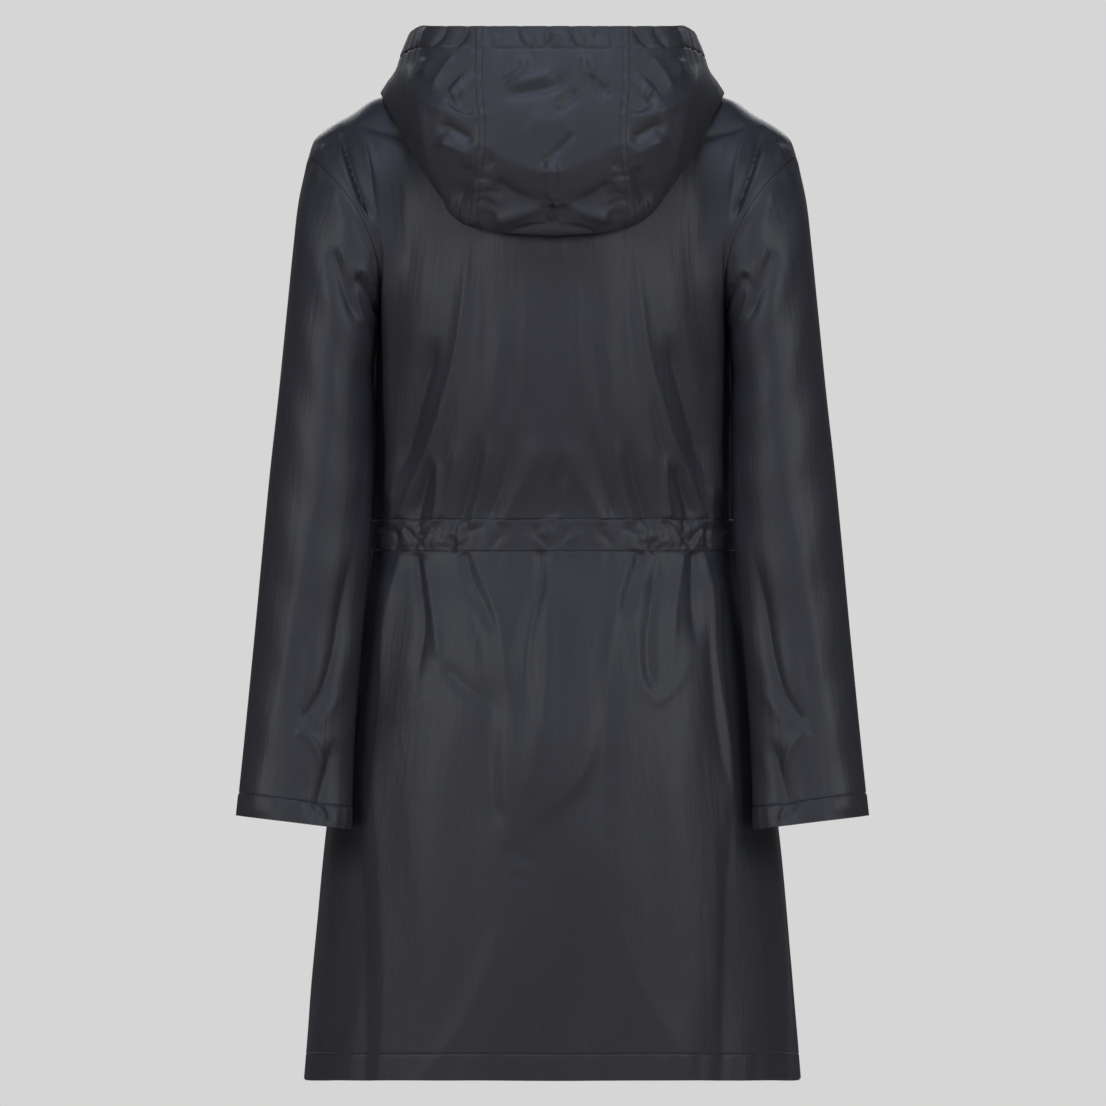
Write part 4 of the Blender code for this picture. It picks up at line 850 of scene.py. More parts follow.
def relief(x, z, creases):
    """Height in metres of creases at places seen square on, x and z in metres."""
    x, z = x / MM, z / MM
    height = np.zeros(x.shape)
    for one in creases:
        places, line = rounded(one.path)
        reach = CREASE_REACH * max(one.width_start, one.width_end) * (1.0 + abs(one.lean))
        low, high = line.min(axis=0) - reach, line.max(axis=0) + reach
        near = (x > low[0]) & (x < high[0]) & (z > low[1]) & (z < high[1])
        if not near.any():
            continue
        px, pz = x[near], z[near]
        best = np.full(px.shape, 1e9)
        along = np.zeros(px.shape)
        side = np.zeros(px.shape)
        for i in range(len(line) - 1):
            run = line[i + 1] - line[i]
            share = np.clip(((px - line[i, 0]) * run[0] + (pz - line[i, 1]) * run[1]) / (run @ run), 0, 1)
            away_x = px - line[i, 0] - share * run[0]
            away_z = pz - line[i, 1] - share * run[1]
            gap = np.hypot(away_x, away_z)
            closer = gap < best
            best = np.where(closer, gap, best)
            along = np.where(closer, places[i] + share * (places[i + 1] - places[i]), along)
            side = np.where(closer, np.sign(run[0] * away_z - run[1] * away_x), side)
        share = along / places[-1]
        width = one.width_start + (one.width_end - one.width_start) * share
        width = width * np.where(side > 0, 1.0 + one.lean, 1.0 - one.lean)
        ends = np.ones(px.shape)
        if one.fade_in > 0:
            ends = ends * (CREASE_LEFT + (1.0 - CREASE_LEFT) * smooth_step(share, 0.0, one.fade_in))
        if one.fade_out > 0:
            ends = ends * (CREASE_LEFT + (1.0 - CREASE_LEFT) * smooth_step(share, 1.0, 1.0 - one.fade_out))
        height[near] += one.height * ends * np.exp(-(best / width) ** CREASE_SHARPNESS)
    return height * MM


def mirrored(creases, strength=0.92, drift=1.6):
    """The same creases on the other half, each a little off, as cloth falls."""
    made = []
    for number, one in enumerate(creases):
        aside = drift * math.sin(2.4 * number + 1.0)
        scale = strength * (1.0 + 0.14 * math.sin(3.9 * number))
        path = tuple((-x + aside, z + 1.5 * aside) for x, z in one.path)
        made.append(one._replace(path=path, height=one.height * scale, lean=-one.lean))
    return made


def drifted(creases):
    """The same creases as on the left sleeve, each a little off, for the right sleeve turned over."""
    return [one._replace(path=tuple((-x, z) for x, z in one.path)) for one in mirrored(creases)]


def line_dip(distance, depth, width=DIP_WIDTH):
    """A stitch line pulled into the cloth, at a signed distance from it."""
    return -depth * np.exp(-(distance / width) ** 2)


def ripple(at, across, kind):
    """Height of uneven puckers, `at` along their line and `across` it, in metres."""
    phase = 5.3 * kind.seed + 3.0 * np.sin(at / (kind.pitch * 3.7) + kind.seed) + 40.0 * across
    strength = 0.55 + 0.45 * np.sin(at / (kind.pitch * 2.3) + 1.7 * kind.seed)
    return kind.height * np.sin(at * 2 * np.pi / kind.pitch + phase) * strength


# ---- objects and meshes ----
def add_object(name, data):
    made = bpy.data.objects.new(name, data)
    bpy.context.collection.objects.link(made)
    return made


def plain_mesh(name, points, faces):
    mesh = bpy.data.meshes.new(name)
    mesh.from_pydata(points, [], faces)
    return add_object(name, mesh)


def join(piece, others):
    with bpy.context.temp_override(active_object=piece, selected_editable_objects=[piece, *others]):
        bpy.ops.object.join()


# ---- turning a grid of points into a closed cloth shell ----
def lowest_near(height):
    """The lowest height among each place and its neighbours two steps round it."""
    padded = np.pad(height, 2, mode="edge")
    rows, columns = height.shape
    low = height.copy()
    for i in range(5):
        for j in range(5):
            low = np.minimum(low, padded[i:i + rows, j:j + columns])
    return low


COARSE = 4                 # the shell's inner grid has every fourth of its outer grid's places
SHARP_DEGREES = 62         # edges of the cloth that turn more than this look sharp


def cloth_shell(name, base, normals, height, thickness, closed=False):
    """A closed shell of cloth: a fine outer grid, a coarse inner grid and rims between them. Rows
    and columns are one more than a multiple of COARSE, but for the columns of a shell closed round."""
    rows, columns = height.shape
    outer = base + normals * height[..., None]
    under = base + normals * (lowest_near(height) - thickness)[..., None]
    keep_rows = np.arange(0, rows, COARSE)
    keep_columns = np.arange(0, columns, COARSE)
    inner = under[np.ix_(keep_rows, keep_columns)]
    inner_rows, inner_columns = inner.shape[:2]
    top = np.arange(rows * columns).reshape(rows, columns)
    low = rows * columns + np.arange(inner_rows * inner_columns).reshape(inner_rows, inner_columns)
    if closed:
        top = np.concatenate([top, top[:, :1]], axis=1)
        low = np.concatenate([low, low[:, :1]], axis=1)

    def quads(grid):
        return np.stack([grid[:-1, :-1], grid[:-1, 1:], grid[1:, 1:], grid[1:, :-1]], axis=-1).reshape(-1, 4)

    faces = [quads(top).tolist(), quads(low)[:, ::-1].tolist()]

    def rim(edge, inside, turned):
        made = []
        for k in range(len(inside) - 1):
            ring = edge[COARSE * k:COARSE * (k + 1) + 1][::-1] + [inside[k], inside[k + 1]]
            made.append(ring[::-1] if turned else ring)
        return made

    faces.append(rim(top[0].tolist(), low[0].tolist(), False))
    faces.append(rim(top[-1].tolist(), low[-1].tolist(), True))
    if not closed:
        faces.append(rim(top[:, 0].tolist(), low[:, 0].tolist(), True))
        faces.append(rim(top[:, -1].tolist(), low[:, -1].tolist(), False))
    points = np.concatenate([outer.reshape(-1, 3), inner.reshape(-1, 3)])
    made = plain_mesh(name, points.tolist(), [face for group in faces for face in group])
    mesh = made.data
    put_uv(mesh, outer, keep_rows, keep_columns, closed)
    turn_outward(mesh)
    mesh.shade_smooth()
    mesh.set_sharp_from_angle(angle=math.radians(SHARP_DEGREES))
    return made


def put_uv(mesh, outer, keep_rows, keep_columns, closed):
    """Lays out U round and V down the cloth, in metres along it."""
    step_u = np.linalg.norm(np.diff(outer, axis=1), axis=2).mean(axis=0)
    step_v = np.linalg.norm(np.diff(outer, axis=0), axis=2).mean(axis=1)
    uv = np.stack(np.meshgrid(np.append(0.0, np.cumsum(step_u)), np.append(0.0, np.cumsum(step_v))), axis=-1)
    inside = uv[np.ix_(keep_rows, keep_columns)]
    every = np.concatenate([uv.reshape(-1, 2), inside.reshape(-1, 2)])
    corners = np.empty(len(mesh.loops), np.int32)
    mesh.loops.foreach_get("vertex_index", corners)
    layer = mesh.uv_layers.new(name="cloth")
    values = every[corners]
    if closed:
        far = np.isin(corners % outer.shape[1], [0]) & (corners < outer.shape[0] * outer.shape[1])
        values[far, 0] = 0.0
    layer.data.foreach_set("uv", values.ravel())


def turn_outward(mesh):
    """Turns all faces over if the shell's volume comes out negative."""
    mesh.calc_loop_triangles()
    count = len(mesh.loop_triangles)
    corners = np.empty(count * 3, np.int32)
    mesh.loop_triangles.foreach_get("vertices", corners)
    points = np.empty(len(mesh.vertices) * 3)
    mesh.vertices.foreach_get("co", points)
    a, b, c = (points.reshape(-1, 3)[corners.reshape(-1, 3)[:, i]] for i in range(3))
    if np.einsum("ij,ij->i", a, np.cross(b, c)).sum() < 0:
        mesh.flip_normals()


def dense_rows(stops, fine_places, coarse, fine, reach):
    """Places from the first stop to the last, close together near the fine places; the number of
    steps is a multiple of COARSE."""
    sample = np.linspace(stops[0], stops[1], 4001)
    near = np.zeros(sample.shape)
    for place in fine_places:
        near = np.maximum(near, 1.0 - smooth_step(np.abs(sample - place), reach * 0.6, reach * 1.4))
    density = 1.0 / (coarse + (fine - coarse) * near)
    total = np.append(0.0, np.cumsum((density[1:] + density[:-1]) / 2 * np.abs(np.diff(sample))))
    steps = COARSE * max(1, int(round(total[-1] / COARSE)))
    return np.interp(np.linspace(0.0, total[-1], steps + 1), total, sample)


def with_lines(rows, lines, length):
    """Rows with one moved onto each stitch line and four more set close to it."""
    rows = rows.copy()
    for line in lines:
        rows[np.argmin(np.abs(rows - line))] = line
    extra = [line + offset / length for line in lines for offset in GROOVE]
    return np.sort(np.concatenate([rows, extra]))


def stitches(lines):
    """Short rounded stitches along lines, each given as its places and their normals."""
    points, faces = [], []
    for place, normal in lines:
        at = run_along(place)
        count = int(at[-1] / STITCH_PITCH)
        middle = (np.arange(count) + 0.5) * at[-1] / count

        def on_line(where, values):
            return np.stack([np.interp(where, at, values[:, axis]) for axis in range(3)], axis=1)

        start = on_line(middle - STITCH_LENGTH / 2, place)
        end = on_line(middle + STITCH_LENGTH / 2, place)
        up = unit(on_line(middle, normal))
        side = unit(np.cross(end - start, up)) * STITCH_RADIUS
        top = up * STITCH_RADIUS
        ring = [side, top, -side, -top]
        first, second = start * 0.75 + end * 0.25 + top * 0.6, start * 0.25 + end * 0.75 + top * 0.6
        each = [start - top] + [first + way for way in ring] + [second + way for way in ring] + [end - top]
        base = len(points) + 10 * np.arange(count)
        points.extend(np.stack(each, axis=1).reshape(-1, 3).tolist())
        for i in range(4):
            j = (i + 1) % 4
            faces.extend(np.stack([base, base + 1 + j, base + 1 + i], axis=1).tolist())
            faces.extend(np.stack([base + 1 + i, base + 1 + j, base + 5 + j, base + 5 + i], axis=1).tolist())
            faces.extend(np.stack([base + 5 + i, base + 5 + j, base + 9], axis=1).tolist())
    made = plain_mesh("stitches", points, faces)
    thread = made.data.uv_layers.new(name="cloth")
    thread.data.foreach_set("uv", np.full(2 * len(made.data.loops), THREAD_UV))
    turn_outward(made.data)
    made.data.shade_smooth()
    return made


def allowance(line, normal):
    """Seam allowance pressed flat inside along a plain seam."""
    along = np.gradient(line, axis=0)
    aside = unit(np.cross(along, normal))
    shares = np.linspace(-1.0, 1.0, 5)[None, :, None] * ALLOWANCE
    base = line[:, None] + aside[:, None] * shares
    steps = np.broadcast_to(normal[:, None], base.shape)
    height = np.full(base.shape[:2], -ALLOWANCE_UNDER)
    return cloth_shell("allowance", base, steps, height, np.full(height.shape, ALLOWANCE_WALL))


# ---- the body panels ----
def body_height(turn, down, point, creases):
    """Height of creases, seams, casing and hem over a body panel."""
    x, z = point[..., 0], point[..., 2]
    across = from_middle(turn)
    girth = turn * QUARTER_GIRTH
    height = relief(x, z, creases)
    for one in BODY_WAVES:
        phase = girth * one.rate + z * one.slant + one.sway * np.sin(z * one.sway_rate)
        height = height + one.height * np.sin(phase) * smooth_step(z, one.starts, one.full) * (z > one.ends)
    gather = np.exp(-((z - WAIST_TOP) / 0.020) ** 2) * (z > WAIST_TOP)
    gather = gather + np.exp(-((z - WAIST_BOTTOM) / 0.026) ** 2) * (z < WAIST_BOTTOM)
    height = height + gather * ripple(girth, z, WAIST_PUCKERS)
    within = (z < WAIST_TOP) & (z > WAIST_BOTTOM)
    band = np.sin(np.pi * np.clip((WAIST_TOP - z) / (WAIST_TOP - WAIST_BOTTOM), 0.0, 1.0)) ** 0.6
    height = height + band * (CASING_PUFF + within * ripple(girth, z, CASING_PUCKERS))
    height += line_dip(z - WAIST_TOP, STITCH_DIP) + line_dip(z - WAIST_BOTTOM, STITCH_DIP)
    hem_line = HEM_Z + HEM_DEPTH
    height += line_dip(z - hem_line, HEM_DIP)
    below = smooth_step(z, hem_line + 0.002, hem_line - 0.004)
    height += below * (HEM_PUFF + ripple(girth, z, HEM_PUCKERS))
    calm = 1.0 - smooth_step(across, 0.955, 0.995)
    top_calm = smooth_step(down, 0.0, 0.16)
    front_calm = np.where(np.abs(turn) > 1.0, smooth_step(np.abs(x), FRONT_EDGE_X + 0.001, 0.016), 1.0)
    rise = SHOULDER_RISE * np.exp(-((np.abs(x) - RISE_X) / RISE_WIDTH) ** 2)
    rise = rise * (1.0 - smooth_step(down, 0.05, 0.30))
    return height * calm * top_calm * front_calm + rise


def hem_walls(down):
    return np.where(down > down_at(HEM_Z + HEM_DEPTH), HEM_WALL, WALL)


BODY_LINES = [down_at(z) for z in (WAIST_TOP, WAIST_BOTTOM, HEM_Z + HEM_DEPTH)]


def body_rows():
    start = HALF_SEAM / YOKE_LENGTH
    yoke = dense_rows((start, 1.0), (start,), 0.0150, 0.008, 0.03)
    fine = BODY_LINES[:2] + [2.0 - 0.6 * HEM_DEPTH / SKIRT_LENGTH]
    skirt = dense_rows((1.0, 2.0), fine, 0.0048, 0.0022, 0.045)
    return with_lines(np.concatenate([yoke, skirt[1:]]), BODY_LINES, SKIRT_LENGTH)


def body_panel(name, turns, creases, hand=1.0):
    rows = body_rows()
    turn, down = np.meshgrid(turns, rows)
    flip = side_of(hand)
    point = coat(turn, down)
    normal = coat_normal(turn, down) * flip
    height = body_height(turn, down, point * flip, creases)
    if turn.max() > 1.5:
        point[..., 0] += FRONT_EDGE_X * (1.0 - smooth_step(point[..., 0], 0.0, 0.03))
    piece = cloth_shell(name, point * flip, normal, height, hem_walls(down))
    outer = point * flip + normal * height[..., None]
    lines = [(outer[i], normal[i]) for i in (int(np.argmin(np.abs(rows - line))) for line in BODY_LINES)]
    if turn.max() > 1.5:
        edge = int(np.argmin(np.abs(point[-1, :, 0] - FRONT_STITCH_X)))
        lines.append((outer[:, edge], normal[:, edge]))
    join(piece, [stitches(lines)])
    return piece


def body_panels():
    side = 1.0 - HALF_SEAM / QUARTER_GIRTH
    creases = (BACK_PAIRS + mirrored(BACK_PAIRS) + BACK_ONLY + CASING_PAIRS + mirrored(CASING_PAIRS)
               + CASING_ONLY + SKIRT_BACK + SHOULDER_CREASES + mirrored(SHOULDER_CREASES))
    back = body_panel("cloth_back", np.linspace(-side, side, 257), creases)
    front_creases = (FRONT_PAIRS + mirrored(FRONT_PAIRS) + FRONT_ONLY + CASING_PAIRS
                     + mirrored(CASING_PAIRS) + SHOULDER_CREASES + mirrored(SHOULDER_CREASES))
    side = 1.0 + HALF_SEAM / QUARTER_GIRTH
    turns = np.linspace(side, 2.0, 129)
    left = body_panel("cloth_front_left", turns, front_creases)
    right = body_panel("cloth_front_right", turns, front_creases, -1.0)
    for hand in (1.0, -1.0):
        join(back, [side_allowance(hand), shoulder_allowance(hand)])
    return {"back": back, "front_left": left, "front_right": right}


def side_allowance(hand):
    flip = side_of(hand)
    down = np.linspace(1.0005, 2.0 - 1.2 * HEM_DEPTH / SKIRT_LENGTH, 81)
    side = np.ones(down.shape)
    return allowance(coat(side, down) * flip, coat_normal(side, down) * flip)


def shoulder_allowance(hand):
    flip = side_of(hand)
    across = np.linspace(NECK_SHARE + 0.02, 0.985, 41)
    top = np.zeros(across.shape)
    return allowance(coat(across, top) * flip, coat_normal(across, top) * flip)


# ---- the sleeves ----
def sleeve(name, hand, behind, before):
    cuff = 1.0 - HEM_DEPTH / SLEEVE_LENGTH
    rows = dense_rows((0.0, 1.0), (0.0, 1.0 - 0.6 * HEM_DEPTH / SLEEVE_LENGTH), 0.0050, 0.0026, 0.045)
    rows = with_lines(rows, [cuff], SLEEVE_LENGTH)
    degrees = np.linspace(0.0, 360.0, 169)[:-1]
    point = sleeve_points(rows, degrees)
    round_sleeve = np.roll(point, -1, 1) - np.roll(point, 1, 1)
    normal = unit(np.cross(round_sleeve, np.gradient(point, axis=0)))
    normal *= np.sign(np.sum(normal * (point - point.mean(axis=1, keepdims=True)), axis=2).mean())
    turn_share = np.abs(np.sin(np.radians(degrees)))[None, :]
    back_side = (degrees < 180.0)[None, :]
    x, z = point[..., 0], point[..., 2]
    height = np.where(back_side, relief(x, z, behind), relief(x, z, before))
    height *= smooth_step(turn_share, 0.0, 0.30)
    along = rows[:, None] * SLEEVE_LENGTH
    girth = np.radians(degrees)[None, :] * SLEEVE_RADIUS
    from_line = (rows[:, None] - cuff) * SLEEVE_LENGTH
    waves = np.sin(along * 75 + 1.6 * np.sin(girth * 38 + 1.0)) * smooth_step(turn_share, 0.0, 0.5)
    height = height + 0.0007 * waves
    height += line_dip(from_line, HEM_DIP)
    height += smooth_step(from_line, 0.0, 0.004) * (HEM_PUFF + ripple(girth, along, CUFF_PUCKERS))
    height += np.exp(-(along / 0.020) ** 2) * ripple(girth, along, ARMHOLE_PUCKERS)
    height *= smooth_step(rows, 0.0, 0.02)[:, None]
    inner_side = np.exp(-((degrees - ARMPIT_DEGREES) / ARMPIT_SPREAD) ** 2)[None, :]
    full = np.exp(-((along - ARMPIT_DOWN) / ARMPIT_LENGTH) ** 2) * smooth_step(rows, 0.0, 0.008)[:, None]
    height += ARMPIT_FULLNESS * full * inner_side
    facing = np.where(degrees <= 180, 1.0, -1.0)
    down = np.where(degrees <= 180, degrees, 360 - degrees) / 180.0
    shared = coat_normal(np.where(facing > 0, 1.0, 1.0 + 1e-9), np.minimum(down, 1.0 - 1e-5))
    start = (1.0 - smooth_step(rows, 0.0, 0.05))[:, None, None]
    normal = unit(normal + (shared[None] - normal) * start)
    clear = unit(np.cross(np.roll(point[0], -1, 0) - np.roll(point[0], 1, 0), normal[0]))
    point[0] += clear * np.sign(clear[:, :1]) * SEAM_GAP
    flip = side_of(hand)
    walls = np.where(rows > cuff, HEM_WALL, WALL)[:, None] + np.zeros(degrees.shape)
    piece = cloth_shell(name, point * flip, normal * flip, height, walls, closed=True)
    at = int(np.argmin(np.abs(rows - cuff)))
    all_round = np.append(np.arange(len(degrees)), 0)
    outer = ((point + normal * height[..., None]) * flip)[at, all_round]
    inside = allowance(point[0, all_round] * flip, normal[0, all_round] * flip)
    join(piece, [stitches([(outer, (normal * flip)[at, all_round])]), inside])
    return piece


# ---- the hood ----
def hood_skin(turns, rows, creases, casing_creases, hand):
    """Places, normals and crease heights of the hood's cloth."""
    turn_step, row_step = 0.5, 0.004
    point = hood_points(turns, rows)
    round_hood = hood_points(turns + turn_step, rows) - hood_points(turns - turn_step, rows)
    up_rib = (hood_points(turns, np.minimum(rows + row_step, 2.0))
              - hood_points(turns, np.maximum(rows - row_step, 0.0)))
    normal = unit(np.cross(up_rib, round_hood))
    x, z = point[..., 0] * hand, point[..., 2]
    angle = np.abs(turns)[None, :]
    row = rows[:, None]
    behind = 1.0 - smooth_step(angle, *HOOD_CREASES_END)
    shown = smooth_step(row, *HOOD_FOLD_ROWS) * behind
    height = relief(x, z, creases) * shown * (1.0 - smooth_step(row, 0.985, 1.0))
    casing = smooth_step(row, 0.995, 1.04)
    height += relief(x, z, casing_creases) * casing * behind * (1.0 - 0.6 * smooth_step(row, 1.6, 2.0))
    girth = np.radians(angle) * HOOD_RADIUS * 1.4
    from_line = np.where(row > 1.0, (row - 1.0) * HOOD_CASING, (row - 1.0) * HOOD_RIB_LENGTH)
    height += line_dip(from_line, STITCH_DIP, HOOD_DIP_WIDTH)
    calm_edge = 1.0 - 0.75 * smooth_step(row, 1.4, 2.0)
    height += casing * (HOOD_CASING_PUFF + calm_edge * ripple(girth, from_line, HOOD_EDGE_PUCKERS))
    below_line = np.exp(-(from_line / 0.015) ** 2) * (row <= 1.0)
    height += below_line * ripple(girth, from_line, HOOD_LINE_PUCKERS)
    seam_gap = np.radians(angle - HOOD_SEAM_TURN) * HOOD_SEAM_RADIUS
    length = row * HOOD_RIB_LENGTH
    gather = np.sin(length * 2 * np.pi / 0.0125 + 2.2 * np.sin(length * 61.0)) * smooth_step(row, 0.6, 0.7)
    height += 0.00035 * gather * np.exp(-(seam_gap / 0.011) ** 2) * (row < 1.0)
    flip = side_of(hand)
    return point * flip, normal * flip, height


def hood_panel(name, turns, creases, casing_creases, hand=1.0):
    rows = np.concatenate([
        dense_rows((0.0, 0.45), (0.0,), 0.022, 0.012, 0.03),
        dense_rows((0.45, 1.0), (1.0,), 0.0052, 0.0045, 0.05)[1:],
        np.linspace(1.0, 2.0, 17)[1:],
    ])
    point, normal, height = hood_skin(turns, rows, creases, casing_creases, hand)
    walls = np.where(rows >= 1.0, HEM_WALL, WALL)[:, None] + np.zeros(turns.shape)
    piece = cloth_shell(name, point, normal, height, walls)
    at = int(np.argmin(np.abs(rows - 1.0)))
    lines = [((point + normal * height[..., None])[at], normal[at])]
    if turns.min() > 0.0:
        band, rows_of_stitches = felled_band(creases, casing_creases, hand)
        lines += rows_of_stitches
        join(piece, [band])
    join(piece, [stitches(lines)])
    return piece


def felled_band(creases, casing_creases, hand):
    """Flat-felled band over a back seam, from under the fold to the hood's edge, and its stitches."""
    rows = np.concatenate([dense_rows((0.50, 1.0), (1.0,), 0.0048, 0.0045, 0.05),
                           np.linspace(1.0, 1.985, 17)[1:]])
    half = math.degrees(FELLED_WIDTH / 2 / HOOD_SEAM_RADIUS)
    turns = HOOD_SEAM_TURN + half * column(BAND, "across")
    point, normal, height = hood_skin(turns, rows, creases, casing_creases, hand)
    length = rows[:, None] * HOOD_RIB_LENGTH
    pucker = 0.00022 * np.sin(length * 2 * np.pi / 0.0078 + 2.0 * np.sin(length * 47.0))
    height = height + column(BAND, "rise") + pucker * column(BAND, "pucker")
    band = cloth_shell("felled_band", point, normal, height, np.full(height.shape, 0.0003))
    outer = point + normal * height[..., None]
    return band, [(outer[:, place], normal[:, place]) for place in BAND_STITCHES]


def hood():
    gap = math.degrees(HALF_SEAM / HOOD_RADIUS)
    seam = HOOD_SEAM_TURN
    creases = HOOD_PAIRS + mirrored(HOOD_PAIRS) + HOOD_ONLY
    made = {}
    made["hood_centre"] = hood_panel("cloth_hood_centre", np.linspace(gap - seam, seam - gap, 85),
                                     creases, HOOD_CASING_CREASES)
    near = dense_rows((seam + gap, 95.0), (seam + gap,), 0.62, 0.5, 5.0)
    side = np.concatenate([near, dense_rows((95.0, HOOD_FRONT_TURN), (95.0,), 1.9, 1.0, 6.0)[1:]])
    made["hood_side_left"] = hood_panel("cloth_hood_side_left", side, creases, HOOD_CASING_CREASES)
    made["hood_side_right"] = hood_panel("cloth_hood_side_right", side, creases, HOOD_CASING_CREASES, -1.0)
    return made


# ---- the waist casing inside ----
def waist_casing():
    """Strip sewn inside the waist by its two stitch lines; it ends short of the zip's tapes."""
    turns = np.linspace(-1.94, 1.94, 521)
    downs = np.linspace(down_at(WAIST_TOP), down_at(WAIST_BOTTOM), 13)
    turn, down = np.meshgrid(turns, downs)
    point = coat(turn, down)
    normal = coat_normal(turn, down)
    base = point - normal * (WALL + CASING_GAP)
    height = np.full(turn.shape, -CASING_SINK)
    return cloth_shell("cloth_waist_casing", base, normal, height, np.full(turn.shape, CASING_WALL))


# ---- the zip ----
def front_frame(down):
    """Centre-front point of the coat, the direction down the zip, and the direction out of it."""
    step = 1e-3
    two = np.full(down.shape, 2.0)
    run = unit(coat(two, down + step) - coat(two, np.maximum(down - step, 0.0)))
    out = stack(0.0, run[..., 2], -run[..., 1])
    return coat(two, down), run, out


def ring_faces(low, count):
    """Faces between a ring of points and the next ring, `low` the first point's number."""
    high = low + count
    return [(low + i, low + (i + 1) % count, high + (i + 1) % count, high + i) for i in range(count)]


def end_faces(first, last, count):
    """Faces that close a run of rings at its first and its last ring."""
    return [tuple(first + i for i in reversed(range(count))), tuple(last + i for i in range(count))]


def zip_teeth():
    """Two rows of interlocked teeth on a cord, down the centre front."""
    downs = np.linspace(CHAIN_TOP, 1.995, 400)
    line = front_frame(downs)[0]
    along = run_along(line)
    at = np.interp(np.arange(TOOTH_PITCH / 2, along[-1], TOOTH_PITCH), along, downs)
    centre, run, out = front_frame(at)
    middle = -(CHAIN_FRONT + CHAIN_BACK) / 2
    deep = (CHAIN_BACK - CHAIN_FRONT) / 2
    corners = [(0.0, 1.0), (0.42, 0.55), (0.42, -0.55), (0.0, -1.0), (-0.42, -0.55), (-0.42, 0.55)]
    points, faces = [], []
    for number in range(len(at)):
        reach = (-CHAIN_HALF_WIDTH, TOOTH_OVERLAP) if number % 2 else (-TOOTH_OVERLAP, CHAIN_HALF_WIDTH)
        base = len(points)
        for x in reach:
            for a, b in corners:
                place = (centre[number] + run[number] * a * TOOTH_PITCH
                         + out[number] * (middle + b * deep * TOOTH_SLIMNESS))
                points.append((x, place[1], place[2]))
        faces += ring_faces(base, len(corners))
        faces += end_faces(base, base + len(corners), len(corners))
    cord = both_sides([(CORD_HALF_WIDTH, 0.35), (CORD_HALF_WIDTH, -0.35)])
    picks = range(0, len(at), TEETH_A_CORD_RING)
    base = len(points)
    for number in picks:
        for x, b in cord:
            place = centre[number] + out[number] * (middle + b * deep)
            points.append((x, place[1], place[2]))
    last = base + len(cord) * (len(picks) - 1)
    for low in range(base, last, len(cord)):
        faces += ring_faces(low, len(cord))
    faces += end_faces(base, last, len(cord))
    return plain_mesh("zip_teeth", points, faces)


def cut_plate(name, loops, half_thickness, bevel):
    """Flat plate with rounded rims: outlines in its plane, thick along Z."""
    curve = bpy.data.curves.new(name, "CURVE")
    curve.dimensions, curve.fill_mode = "2D", "BOTH"
    curve.extrude, curve.bevel_depth = half_thickness - bevel, bevel
    curve.bevel_resolution, curve.offset = 2, -bevel
    for loop in loops:
        line = curve.splines.new("POLY")
        line.points.add(len(loop) - 1)
        for point, (x, y) in zip(line.points, loop):
            point.co = (x, y, 0.0, 1.0)
        line.use_cyclic_u = True
    holder = add_object(name, curve)
    bpy.context.view_layer.update()
    mesh = bpy.data.meshes.new_from_object(holder)
    bpy.data.objects.remove(holder)
    return mesh


def round_corners(corners, radius, steps=5):
    """Closed outline with its corners rounded."""
    made = []
    count = len(corners)
    for i, corner in enumerate(corners):
        here = np.array(corner, float)
        before = np.array(corners[i - 1], float) - here
        after = np.array(corners[(i + 1) % count], float) - here
        reach = min(radius, 0.45 * np.linalg.norm(before), 0.45 * np.linalg.norm(after))
        start, end = here + unit(before) * reach, here + unit(after) * reach
        for t in np.linspace(0.0, 1.0, steps):
            made.append(tuple((1 - t) ** 2 * start + 2 * t * (1 - t) * here + t * t * end))
    return made


def both_sides(half):
    """Closed outline from its right half, listed from its top to its bottom."""
    other = [(-x, y) for x, y in half[::-1]]
    return other[-1:] + half + other[:-1]


def placed(name, meshes, place, tilt):
    """One object of several meshes, each with the moves that bring its X, Y, Z into the zip's frame."""
    points, faces = [], []
    for mesh, across, deep, up, shift in meshes:
        base = len(points)
        for vert in mesh.vertices:
            local = [vert.co[across], vert.co[deep], vert.co[up]]
            points.append([local[i] + shift[i] for i in range(3)])
        faces += [tuple(base + i for i in face.vertices) for face in mesh.polygons]
    points = np.array(points)
    turned = points.copy()
    turned[:, 1] = points[:, 1] * math.cos(tilt) - points[:, 2] * math.sin(tilt) + place[1]
    turned[:, 2] = points[:, 1] * math.sin(tilt) + points[:, 2] * math.cos(tilt) + place[2]
    made = plain_mesh(name, turned.tolist(), faces)
    shape = bmesh.new()
    shape.from_mesh(made.data)
    bmesh.ops.recalc_face_normals(shape, faces=shape.faces)
    shape.to_mesh(made.data)
    shape.free()
    made.data.shade_smooth()
    made.data.set_sharp_from_angle(angle=math.radians(40))
    return made


